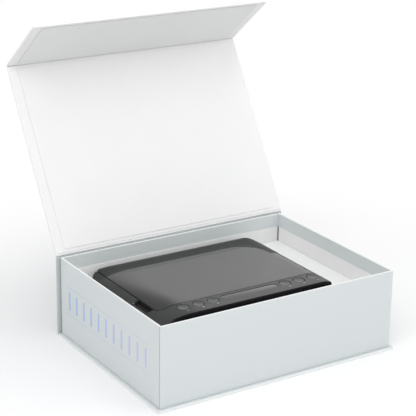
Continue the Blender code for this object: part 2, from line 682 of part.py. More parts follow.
def build_deck(lift):
    """The upper housing: control strip, left shoulder, ledge and thumb recess."""
    deck = body_cap("top_deck", DECK_BOTTOM, 0.0, 0.0, "black_shell", lift)
    hollow = body_cap("deck_hollow", DECK_BOTTOM - OVERRUN, BODY_WALL, BODY_WALL, None, lift)
    combine(hollow, parented(lid_zone("ledge_block", GROOVE + BODY_WALL, LEDGE_BOTTOM), lift))
    combine(hollow, ledge_rim(lift))
    pocket_low = top_height(LID_LEFT, 0.0) - NOTCH_DEPTH
    notch_left = LID_LEFT - GROOVE - NOTCH_WIDTH
    notch_back = NOTCH_FRONT + NOTCH_LENGTH
    notch_top = BODY_TOP + OVERRUN
    wall = NOTCH_WALL
    combine(hollow, blocks("notch_block", [((notch_left - wall, NOTCH_FRONT - wall, pocket_low - wall),
                                            (LID_LEFT, notch_back + wall, notch_top))], None, lift))
    combine(deck, hollow)
    recess = parented(lid_zone("lid_recess", GROOVE, LEDGE_TOP), lift)
    combine(deck, recess)
    side = blocks("right_recess", [((LID_RIGHT - OVERRUN, LID_FRONT - GROOVE, LEDGE_TOP),
                                    (BODY_RIGHT + OVERRUN, BODY_BACK + OVERRUN, notch_top))], None, lift)
    combine(deck, side)
    trough_low = HINGE_Z - KNUCKLE_RADIUS - GAP - LEAF - GAP
    trough = blocks("hinge_trough", [((LID_RIGHT + GAP, HINGE_FRONT - GAP, trough_low),
                                      (BODY_RIGHT + OVERRUN, HINGE_FRONT + HINGE_LENGTH + GAP, notch_top))],
                    None, lift)
    combine(deck, trough)
    window_loops = [chamber_loop(-GAP, DECK_BOTTOM - OVERRUN), chamber_loop(-GAP, LEDGE_TOP + OVERRUN)]
    combine(deck, loft("chamber_window", window_loops, None, lift))
    notch = blocks("notch_pocket", [((notch_left, NOTCH_FRONT, pocket_low),
                                     (LID_LEFT - GROOVE + OVERRUN, notch_back, notch_top))], None, lift)
    combine(deck, notch)
    holes = [(x, y, BODY_TOP) for x, y in key_places()]
    bore = [(-BODY_WALL - KEY_HEIGHT, KEY_RADIUS + KEY_CLEARANCE), (OVERRUN, KEY_RADIUS + KEY_CLEARANCE)]
    combine(deck, discs("key_holes", holes, "Z", bore, None, lift))
    combine(deck, parented(bar_solid("bar_slot", GAP, BODY_TOP - BAR_HEIGHT - OVERRUN, notch_top), lift))
    left, right, low, high = grille_limits(0.0)
    window = blocks("deck_front_window", [((left, BODY_FRONT - OVERRUN, DECK_BOTTOM - OVERRUN),
                                           (right, BODY_FRONT + BODY_WALL + OVERRUN, high))], None, lift)
    combine(deck, window)

    grip_low = pocket_low + GAP
    grip_left, grip_right = notch_left + GAP, LID_LEFT - GROOVE - GAP
    pad = ((grip_left, NOTCH_FRONT + GAP, grip_low),
           (grip_right, notch_back - GAP, grip_low + GRIP_THICKNESS))
    grip = blocks("thumb_grip", [pad], "rubber", lift)
    pitch = (NOTCH_LENGTH - 2 * GAP) / GRIP_RIBS
    ribs = []
    for index in range(GRIP_RIBS):
        front = NOTCH_FRONT + GAP + pitch * (index + 0.25)
        ribs.append(((grip_left + GAP, front, grip_low + GRIP_THICKNESS / 2),
                     (grip_right - GAP, front + pitch / 2, grip_low + GRIP_THICKNESS + GRIP_RIB_HEIGHT)))
    combine(grip, blocks("grip_ribs", ribs, None, lift), "UNION")
    catch_low = grip_low + GRIP_THICKNESS + GRIP_RIB_HEIGHT + GAP
    catch_back = notch_back - GAP
    blocks("latch_catch", [((notch_left + GAP, catch_back - CATCH_THICKNESS, catch_low),
                            (notch_left + GAP + CATCH_LENGTH, catch_back, catch_low + CATCH_HEIGHT))],
           "steel", lift)
    return deck


def ledge_rim(lift):
    """Right rim of the ledge, under the hinge, kept out of the deck's hollow."""
    return blocks("ledge_rim_block", [((LID_RIGHT, LID_FRONT - GROOVE - BODY_WALL, LEDGE_BOTTOM),
                                       (BODY_RIGHT, BODY_BACK, BODY_TOP + OVERRUN))], None, lift)


def bar_solid(name, clearance, low, high):
    """The pill outline of the light bar, as a prism."""
    half = BAR_LENGTH / 2 + clearance
    radius = BAR_WIDTH / 2 + clearance
    middle_y = LID_FRONT - KEY_ROW
    loops = []
    for height in (low, high):
        loops.append(rounded_loop(KEY_MIDDLE - half, KEY_MIDDLE + half, middle_y - radius, middle_y + radius,
                                  (radius,) * 4, height))
    return loft(name, loops, "lamp_lens")


def build_controls(lift):
    """Keys on their own slides, the switches under them and the light bar."""
    cap_top = BODY_TOP - KEY_SINK
    rim = 0.12 * KEY_RADIUS
    stem = [(-KEY_HEIGHT - KEY_STEM, KEY_STEM_RADIUS), (-KEY_HEIGHT, KEY_STEM_RADIUS)]
    cap = [(-KEY_HEIGHT, KEY_RADIUS), (-rim, KEY_RADIUS),
           (0.0, KEY_RADIUS - rim), (-rim / 2, 0.6 * KEY_RADIUS)]
    profile = stem + cap
    for index, (x, y) in enumerate(key_places()):
        top = min(cap_top, top_height(x, y) - KEY_SINK)
        axis = make_pivot("key_axis_" + str(index + 1), (x, y, top), lift)
        discs("key_" + str(index + 1), [(x, y, top)], "Z", profile, "grey_key", axis)
    parented(bar_solid("light_bar", 0.0, BODY_TOP - BAR_HEIGHT, BODY_TOP - KEY_SINK), lift)
    switch_top = BODY_TOP - KEY_SINK - KEY_HEIGHT - KEY_STEM - KEY_TRAVEL - GAP
    switches, half = [], SWITCH_SIZE / 2
    for x, y in key_places():
        switches.append(((x - half, y - half, switch_top - SWITCH_HEIGHT), (x + half, y + half, switch_top)))
    board_top = switch_top - SWITCH_HEIGHT + SWITCH_HEIGHT / 5
    board_back = LID_FRONT - GROOVE - BODY_WALL - GAP
    reach = KEY_FIRST + KEY_PITCH * (KEYS_PER_SIDE - 1) + SWITCH_SIZE
    board = blocks("key_board", [((KEY_MIDDLE - reach, board_back - KEY_BOARD_WIDTH, board_top - KEY_BOARD),
                                  (KEY_MIDDLE + reach, board_back, board_top))], "board_green", lift)
    combine(board, blocks("key_switches", switches, None, lift), "UNION")


def build_grille(lift):
    """The black front panel with its slots, and the two speakers behind it."""
    left, right, low, high = grille_limits(GAP)
    front = BODY_FRONT + GRILLE_RECESS
    back = front + GRILLE_THICKNESS
    grille = blocks("front_grille", [((left, front, low), (right, back, high))], "black_matte", lift)
    slots = []
    for x, _, z in speaker_places().values():
        for index in range(GRILLE_SLOTS):
            middle = z + (index - (GRILLE_SLOTS - 1) / 2) * GRILLE_SLOT_PITCH
            slots.append(((x - GRILLE_SLOT_LENGTH / 2, front - OVERRUN, middle - GRILLE_SLOT / 2),
                          (x + GRILLE_SLOT_LENGTH / 2, back + OVERRUN, middle + GRILLE_SLOT / 2)))
    combine(grille, blocks("grille_slots", slots, None, lift))
    for side, (x, y, z) in speaker_places().items():
        inner = SPEAKER_RADIUS - SPEAKER_RIM
        neck = SPEAKER_MAGNET_RADIUS
        wall = SPEAKER_RIM
        basket = [(0.0, inner), (0.0, SPEAKER_RADIUS), (wall, SPEAKER_RADIUS), (SPEAKER_DEPTH, neck),
                  (SPEAKER_DEPTH, neck - wall), (wall, inner - wall / 2)]
        discs("speaker_basket_" + side, [(x, y, z)], "Y", basket, "black_matte", lift, ROUND_STEPS, True)
        rim = inner - wall / 2 - 2 * GAP
        hub, tip = rim / 3, rim / 12
        deep, thick = SPEAKER_CONE_DEPTH, CONE_THICKNESS
        cone = [(deep, tip), (deep, hub), (GAP + thick, rim),
                (GAP, rim), (deep - thick, hub), (deep - thick, tip)]
        discs("speaker_cone_" + side, [(x, y, z)], "Y", cone, "rubber", lift)
        start = SPEAKER_DEPTH + GAP
        magnet = [(start, SPEAKER_MAGNET_RADIUS), (start + SPEAKER_MAGNET_DEPTH, SPEAKER_MAGNET_RADIUS)]
        discs("speaker_magnet_" + side, [(x, y, z)], "Y", magnet, "magnet", lift)


def build_chamber(lift):
    """The lined chamber with its lamps, the clear shelf and the charging coil."""
    wall = CHAMBER_WALL
    loft("chamber_tub", [
        chamber_loop(0.0, CHAMBER_FLOOR - wall), chamber_loop(0.0, LEDGE_TOP),
        chamber_loop(wall, LEDGE_TOP), chamber_loop(wall, CHAMBER_FLOOR),
    ], "white_plastic", lift)
    middle_x, middle_y = CHAMBER_MIDDLE_X, CHAMBER_MIDDLE_Y
    board_low = CHAMBER_FLOOR + GAP
    lamp_row("uv_base_lamps", middle_x, middle_y, board_low, board_low + LAMP_BOARD, lift)

    shelf_low = CHAMBER_FLOOR + SHELF_LIFT
    inset = wall + SHELF_MARGIN
    shelf_loops = [chamber_loop(inset, shelf_low), chamber_loop(inset, shelf_low + SHELF_THICKNESS)]
    shelf = loft("phone_shelf", shelf_loops, "lamp_lens", lift)
    left = LID_LEFT + CHAMBER_MARGIN_LEFT + inset + CHAMBER_RADIUS
    right = LID_RIGHT - CHAMBER_MARGIN_RIGHT - inset - CHAMBER_RADIUS
    front = LID_FRONT + CHAMBER_MARGIN_FRONT + inset + CHAMBER_RADIUS / 2
    back = BODY_BACK - CHAMBER_MARGIN_BACK - inset - CHAMBER_RADIUS / 2
    posts = []
    half = SHELF_POST / 2
    for x in (left, right):
        for y in (front, back):
            posts.append(((x - half, y - half, CHAMBER_FLOOR + GAP),
                          (x + half, y + half, shelf_low + SHELF_THICKNESS / 2)))
    combine(shelf, blocks("shelf_posts", posts, None, lift), "UNION")
    slots = []
    pitch = (right - left - 2 * SHELF_POST) / SHELF_SLOTS
    for index in range(SHELF_SLOTS):
        x = left + SHELF_POST + pitch * (index + 0.5)
        slots.append(((x - SHELF_SLOT / 2, front + SHELF_POST, shelf_low - OVERRUN),
                      (x + SHELF_SLOT / 2, back - SHELF_POST, shelf_low + SHELF_THICKNESS + OVERRUN)))
    combine(shelf, blocks("shelf_slots", slots, None, lift))

    coil_top = CHAMBER_FLOOR - wall - GAP
    coil = [(-COIL_THICKNESS, COIL_HOLE_RADIUS), (-COIL_THICKNESS, COIL_RADIUS), (0.0, COIL_RADIUS),
            (0.0, COIL_HOLE_RADIUS)]
    discs("charge_coil", [(middle_x, middle_y, coil_top)], "Z", coil, "copper", lift, ROUND_STEPS, True)
    shield_top = coil_top - COIL_THICKNESS - GAP
    shield = [(-SHIELD_THICKNESS, COIL_RADIUS + COIL_THICKNESS), (0.0, COIL_RADIUS + COIL_THICKNESS)]
    discs("coil_shield", [(middle_x, middle_y, shield_top)], "Z", shield, "black_matte", lift)


def lamp_row(name, middle_x, middle_y, board_low, lamp_low, pivot):
    """A lamp board with its row of soldered lamps."""
    board = blocks(name, [((middle_x - LAMP_BOARD_LENGTH / 2, middle_y - LAMP_BOARD_WIDTH / 2, board_low),
                           (middle_x + LAMP_BOARD_LENGTH / 2, middle_y + LAMP_BOARD_WIDTH / 2,
                            board_low + LAMP_BOARD))], "board_green", pivot)
    lamps = []
    pitch = LAMP_BOARD_LENGTH / LAMPS_PER_BOARD
    half = LAMP_SIZE / 2
    root = LAMP_BOARD / 2
    faces_up = lamp_low > board_low
    low, high = (lamp_low - root, lamp_low + LAMP_HEIGHT) if faces_up else (lamp_low, board_low + root)
    for index in range(LAMPS_PER_BOARD):
        x = middle_x - LAMP_BOARD_LENGTH / 2 + pitch * (index + 0.5)
        lamps.append(((x - half, middle_y - half, low), (x + half, middle_y + half, high)))
    combine(board, blocks(name + "_lenses", lamps, None, pivot), "UNION")


def build_lid(lift):
    """The crowned lid with its liner, seal, lamps, windows and magnet."""
    swing = make_pivot("sanitizer_lid_axis", (HINGE_X, 0.0, HINGE_Z), lift)
    cover = body_cap("lid_cover", LID_BOTTOM, 0.0, 0.0, "black_shell", swing)
    outline = parented(lid_zone("lid_outline", 0.0, LID_BOTTOM - OVERRUN), swing)
    lip_low = HINGE_Z + KNUCKLE_RADIUS + LIP_CLEARANCE
    lip_corners = ((LID_RIGHT - OVERRUN, LID_FRONT, lip_low),
                   (BODY_RIGHT + OVERRUN, BODY_BACK + OVERRUN, BODY_TOP + OVERRUN))
    lip = blocks("lip_outline", [lip_corners], None, swing)
    combine(cover, combine(outline, lip, "UNION"), "INTERSECT")
    hollow = body_cap("lid_hollow", LID_BOTTOM - OVERRUN, LID_WALL, LID_WALL, None, swing)
    hollow_outline = parented(lid_zone("hollow_outline", -LID_WALL, LID_BOTTOM - BODY_WALL), swing)
    combine(hollow, hollow_outline, "INTERSECT")
    combine(cover, hollow)

    def plate(name, inset, low, high, kind):
        piece = loft(name, [body_loop(inset, low), body_loop(inset, high)], kind, swing)
        outline = parented(lid_zone(name + "_outline", -inset, low - OVERRUN), swing)
        return combine(piece, outline, "INTERSECT")

    inset = LID_WALL + GAP
    liner = plate("lid_liner", inset, LINER_BOTTOM, LINER_TOP, "white_plastic")
    middle_x, middle_y = CHAMBER_MIDDLE_X, CHAMBER_MIDDLE_Y
    half_x, half_y = WINDOW_LENGTH / 2, WINDOW_WIDTH / 2
    opening = ((middle_x - half_x - GAP, middle_y - half_y - GAP, LINER_BOTTOM - OVERRUN),
               (middle_x + half_x + GAP, middle_y + half_y + GAP, LINER_TOP + OVERRUN))
    combine(liner, blocks("liner_window", [opening], None, swing))
    blocks("uv_lid_window", [((middle_x - half_x, middle_y - half_y, LINER_BOTTOM),
                              (middle_x + half_x, middle_y + half_y, LINER_TOP))], "lamp_lens", swing)
    lamp_low = LINER_TOP + GAP
    lamp_row("uv_lid_lamps", middle_x, middle_y, lamp_low + LAMP_HEIGHT, lamp_low, swing)
    seal = plate("lid_seal", inset, LID_BOTTOM, LINER_BOTTOM - GAP, "rubber")
    inner = loft("seal_inside", [body_loop(inset + SEAL_WIDTH, LID_BOTTOM - OVERRUN),
                                 body_loop(inset + SEAL_WIDTH, LINER_BOTTOM + OVERRUN)], None, swing)
    outline = parented(lid_zone("seal_inside_outline", -inset - SEAL_WIDTH, LID_BOTTOM - 2 * OVERRUN), swing)
    combine(seal, combine(inner, outline, "INTERSECT"))
    magnet_x = LID_LEFT + inset + GAP
    magnet_y = NOTCH_FRONT + NOTCH_LENGTH / 2
    blocks("lid_magnet", [((magnet_x, magnet_y - LID_MAGNET_LENGTH / 2, LINER_TOP + GAP),
                           (magnet_x + LID_MAGNET_WIDTH, magnet_y + LID_MAGNET_LENGTH / 2,
                            LINER_TOP + GAP + LID_MAGNET_HEIGHT))], "magnet", swing)
    sensor_top = LEDGE_BOTTOM - GAP
    sensor = ((magnet_x, magnet_y - SENSOR_LENGTH / 2, sensor_top - SENSOR_HEIGHT),
              (magnet_x + SENSOR_WIDTH, magnet_y + SENSOR_LENGTH / 2, sensor_top))
    blocks("lid_sensor", [sensor], "black_matte", lift)
    build_hinge(lift, swing)


def build_hinge(lift, swing):
    """Knuckles by turns on the deck and on the lid, round one steel pin."""
    length = HINGE_LENGTH / KNUCKLES
    bore = PIN_RADIUS + PIN_CLEARANCE
    strip_low = HINGE_Z - KNUCKLE_RADIUS - GAP - LEAF
    deck_x = (HINGE_X - KNUCKLE_RADIUS, HINGE_X + KNUCKLE_RADIUS)
    hinge_back = HINGE_FRONT + HINGE_LENGTH
    for name, start, pivot in (("hinge_leaf_deck", 0, lift), ("hinge_leaf_lid", 1, swing)):
        mesh_data = bmesh.new()
        for index in range(start, KNUCKLES, 2):
            front = HINGE_FRONT + index * length + GAP / 2
            add_turned(mesh_data, (HINGE_X, front, HINGE_Z), "Y",
                       [(0.0, KNUCKLE_RADIUS), (length - GAP, KNUCKLE_RADIUS)], SMALL_ROUND_STEPS)
        leaf = finish_mesh(name, mesh_data, "black_matte", pivot)
        necks = []
        for index in range(start, KNUCKLES, 2):
            front = HINGE_FRONT + index * length + GAP / 2
            if pivot is lift:
                necks.append(((HINGE_X - KNUCKLE_RADIUS / 2, front, strip_low + LEAF / 2),
                              (HINGE_X + KNUCKLE_RADIUS / 2, front + length - GAP, HINGE_Z)))
            else:
                necks.append(((LID_RIGHT + GAP + LEAF / 2, front, HINGE_Z - LEAF / 2),
                              (HINGE_X, front + length - GAP, HINGE_Z + KNUCKLE_RADIUS / 2)))
        combine(leaf, blocks(name + "_necks", necks, None, pivot), "UNION")
        if pivot is lift:
            strip = ((deck_x[0], HINGE_FRONT, strip_low), (deck_x[1], hinge_back, strip_low + LEAF))
        else:
            strip = ((LID_RIGHT + GAP, HINGE_FRONT + length, HINGE_Z - LEAF),
                     (LID_RIGHT + GAP + LEAF, hinge_back - length, HINGE_Z + KNUCKLE_RADIUS))
        combine(leaf, blocks(name + "_strip", [strip], None, pivot), "UNION")
        hole = [(-OVERRUN, bore), (HINGE_LENGTH + OVERRUN, bore)]
        combine(leaf, discs(name + "_bore", [(HINGE_X, HINGE_FRONT, HINGE_Z)], "Y", hole, None, pivot,
                            SMALL_ROUND_STEPS))
    pin = [(0.0, PIN_RADIUS), (HINGE_LENGTH, PIN_RADIUS)]
    discs("hinge_pin", [(HINGE_X, HINGE_FRONT, HINGE_Z)], "Y", pin, "steel", lift, SMALL_ROUND_STEPS)


def build_boards(lift):
    """The main board on its posts, with its larger parts."""
    middle_x = BODY_MIDDLE_X
    low = BODY_BOTTOM + BODY_WALL + POST_HEIGHT + GAP
    high = low + MAIN_BOARD
    half_x, half_y = MAIN_BOARD_LENGTH / 2, MAIN_BOARD_WIDTH / 2
    corners = ((middle_x - half_x, MAIN_BOARD_Y - half_y, low),
               (middle_x + half_x, MAIN_BOARD_Y + half_y, high))
    board = blocks("main_board", [corners], "board_green", lift)
    chips = []
    layout_shares = ((-0.30, -0.20, 0.10), (0.05, 0.10, 0.14), (0.32, -0.22, 0.08), (0.34, 0.24, 0.07))
    for share_x, share_y, share_size in layout_shares:
        x = middle_x + share_x * MAIN_BOARD_LENGTH
        y = MAIN_BOARD_Y + share_y * MAIN_BOARD_WIDTH
        half = share_size * MAIN_BOARD_LENGTH / 2
        chips.append(((x - half, y - half, low + MAIN_BOARD / 2), (x + half, y + half, high + CHIP)))
    combine(board, blocks("board_chips", chips, None, lift), "UNION")


def main():
    """Build the box, the insert and the sanitizer."""
    clear_scene()
    build_tray()
    build_case()
    build_insert()
    lift = make_pivot("sanitizer_axis", (0.0, 0.0, BODY_BOTTOM))
    build_base(lift)
    build_deck(lift)
    build_controls(lift)
    build_grille(lift)
    build_chamber(lift)
    build_lid(lift)
    build_boards(lift)


main()
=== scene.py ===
"""Looks of the UV sanitizer with speaker, lying in its rigid presentation box.

Every length is in metres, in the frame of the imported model: +Z is up, +X runs
along the long front side and +Y goes to the hinge side of the box. The box's
lid and flap are worked out closed and are then turned open about their hinge
lines, which the frame's joints give.
"""

from __future__ import annotations

import json
import logging
import math
from dataclasses import dataclass, field
from enum import Enum
from typing import Sequence

import bpy
import numpy as np
from mathutils import Matrix, Vector

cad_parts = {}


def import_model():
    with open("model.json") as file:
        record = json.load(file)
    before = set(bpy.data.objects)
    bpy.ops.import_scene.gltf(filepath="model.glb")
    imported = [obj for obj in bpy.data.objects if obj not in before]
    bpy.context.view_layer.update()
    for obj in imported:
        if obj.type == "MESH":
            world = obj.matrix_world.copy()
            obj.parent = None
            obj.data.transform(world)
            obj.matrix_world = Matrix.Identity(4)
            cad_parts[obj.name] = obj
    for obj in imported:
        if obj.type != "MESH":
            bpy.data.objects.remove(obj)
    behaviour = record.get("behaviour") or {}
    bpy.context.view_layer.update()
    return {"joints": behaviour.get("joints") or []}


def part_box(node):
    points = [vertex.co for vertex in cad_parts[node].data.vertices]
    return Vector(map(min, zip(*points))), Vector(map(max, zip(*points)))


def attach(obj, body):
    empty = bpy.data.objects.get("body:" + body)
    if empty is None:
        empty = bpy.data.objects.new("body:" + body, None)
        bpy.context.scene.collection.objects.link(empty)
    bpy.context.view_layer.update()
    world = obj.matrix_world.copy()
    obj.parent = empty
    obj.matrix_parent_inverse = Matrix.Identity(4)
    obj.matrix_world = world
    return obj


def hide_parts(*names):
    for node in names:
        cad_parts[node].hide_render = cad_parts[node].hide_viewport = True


LOG = logging.getLogger("uv_sanitizer")
MM = 0.001
RIM_ATTRIBUTE = "rim"
ZONE_ATTRIBUTE = "zone"
UV_NAME = "surface_metres"
BUMP_REACH = 0.2 * MM
LEAST_RADIUS = 0.02 * MM
AXIS_RADIUS = 0.05 * MM
BODY_RADII = (12 * MM, 6 * MM, 32 * MM, 32 * MM)
LID_RADII = (7 * MM, 1.2 * MM, 32 * MM, 12 * MM)
EDGE_WHITE = (0.86, 0.87, 0.87)
INSIDE_WHITE = (0.85, 0.85, 0.845)

Colour = tuple[float, float, float]
Plan = np.ndarray
Row = np.ndarray


class Pattern(Enum):
    """What a finish shows beside its plain colour."""

    PLAIN = "plain"
    PRINTED_PAPER = "printed paper"
    CARD = "card"
    PERFORATED = "perforated"
    # Gloss whose coat is cut back by a mask, painting shade into its reflection.
    GLOSS_PAINTED_SHADE = "panel gloss"
    FADE = "fade"
    BRUSHED = "brushed"
    TRACKS = "tracks"
    WINDING = "winding"
    CLEAR = "clear"


@dataclass(frozen=True)
class Finish:
    """One finish: the values of its Principled shader and of its pattern."""

    name: str
    colour: Colour
    roughness: float
    metallic: float = 0.0
    specular: float = 0.5
    coat: float = 0.0
    pattern: Pattern = Pattern.PLAIN
    second: Colour = (1.0, 1.0, 1.0)
    scale: float = 400.0
    relief: float = 0.1
    spread: float = 0.06


BOX_PAPER = Finish("printed_wrap_paper", (0.645, 0.685, 0.69), 0.62, pattern=Pattern.PRINTED_PAPER,
                   second=(0.73, 0.76, 0.765), scale=170.0, relief=0.04, spread=0.08)
# The spine is a darker grey than the wrap; this grey is partly its paper and partly painted shade on the
# spine.
SPINE_PAPER_AND_SHADE = Finish("spine_paper", (0.50, 0.525, 0.53), 0.62, pattern=Pattern.CARD,
                     second=(0.54, 0.565, 0.57), scale=700.0, relief=0.05, spread=0.08)
# Dark strips: painted shadow in the lining's corner slits and in the gap between tray and spine, and the dark
# corner seams.
SHADOW_AND_SEAM_DARK = Finish("shadow_joint", (0.028, 0.029, 0.030), 0.8, scale=900.0, relief=0.04)
RULE_INK = Finish("printed_rules", (0.30, 0.50, 0.80), 0.55, pattern=Pattern.FADE,
                  second=(0.58, 0.52, 0.78), scale=900.0, relief=0.03)
EDGE_PAPER = Finish("crease_paper", (0.76, 0.78, 0.78), 0.65, pattern=Pattern.CARD, second=(0.82, 0.83, 0.83),
                    scale=700.0, relief=0.06)
LINING_PAPER = Finish("white_lining_paper", (0.86, 0.86, 0.855), 0.6, pattern=Pattern.CARD,
                      second=(0.83, 0.83, 0.825), scale=900.0, relief=0.05)
FLAP_PAPER = Finish("flap_lining_paper", (0.80, 0.805, 0.80), 0.6, pattern=Pattern.CARD,
                    second=(0.77, 0.775, 0.77), scale=900.0, relief=0.05)
INSERT_CARD = Finish("white_insert_card", (0.87, 0.87, 0.87), 0.55, pattern=Pattern.CARD,
                     second=(0.84, 0.84, 0.84), scale=500.0, relief=0.08)
LID_GLOSS = Finish("lid_gloss", (0.026, 0.027, 0.026), 0.38, specular=0.15, pattern=Pattern.GLOSS_PAINTED_SHADE,
                   scale=60.0, relief=0.004, spread=0.05)
DECK_SATIN = Finish("deck_satin", (0.030, 0.032, 0.031), 0.42, specular=0.18, pattern=Pattern.PERFORATED,
                    second=(0.008, 0.008, 0.009), scale=900.0, relief=0.03)
SHELL_SATIN = Finish("shell_satin", (0.030, 0.030, 0.031), 0.40, specular=0.35, scale=900.0, relief=0.04)
KEY_SATIN = Finish("key_satin", (0.050, 0.052, 0.051), 0.34, specular=0.4, coat=0.25, scale=1200.0,
                   relief=0.03)
BAR_SMOKE = Finish("smoked_bar", (0.045, 0.046, 0.047), 0.2, specular=0.4, coat=0.5, scale=300.0, relief=0.01)
BAND_BLACK = Finish("front_band_black", (0.004, 0.004, 0.005), 0.55, specular=0.08, scale=1400.0, relief=0.05)
LAMP_GLASS = Finish("lamp_glass", (0.62, 0.60, 0.78), 0.15, scale=600.0, relief=0.02)
MARK_INK = Finish("mark_ink", (0.55, 0.56, 0.56), 0.6, scale=1500.0, relief=0.02)
GRILLE_BLACK = Finish("grille_black", (0.006, 0.006, 0.006), 0.55, specular=0.25, scale=1400.0, relief=0.05)
SOFT_RUBBER = Finish("soft_rubber", (0.008, 0.008, 0.008), 0.8, scale=1600.0, relief=0.06)
MATT_BLACK = Finish("matt_black", (0.012, 0.012, 0.012), 0.6, scale=1200.0, relief=0.05)
CHAMBER_WHITE = Finish("chamber_reflector", (0.74, 0.75, 0.76), 0.28, scale=300.0, relief=0.02)
CLEAR_SHELF = Finish("clear_shelf", (0.90, 0.94, 0.97), 0.05, pattern=Pattern.CLEAR)
CIRCUIT = Finish("circuit_board", (0.012, 0.12, 0.045), 0.38, pattern=Pattern.TRACKS,
                 second=(0.05, 0.24, 0.09), scale=260.0, relief=0.05)
COPPER = Finish("copper_winding", (0.78, 0.36, 0.16), 0.32, metallic=1.0, pattern=Pattern.WINDING,
                second=(0.42, 0.16, 0.06), scale=900.0, relief=0.25)
PLAIN_STEEL = Finish("plain_steel", (0.56, 0.56, 0.57), 0.28, metallic=1.0, pattern=Pattern.BRUSHED,
                     second=(0.44, 0.44, 0.45), scale=1500.0, relief=0.05)
NICKEL = Finish("nickel_plate", (0.48, 0.47, 0.45), 0.22, metallic=1.0, pattern=Pattern.BRUSHED,
                second=(0.40, 0.39, 0.37), scale=900.0, relief=0.02)


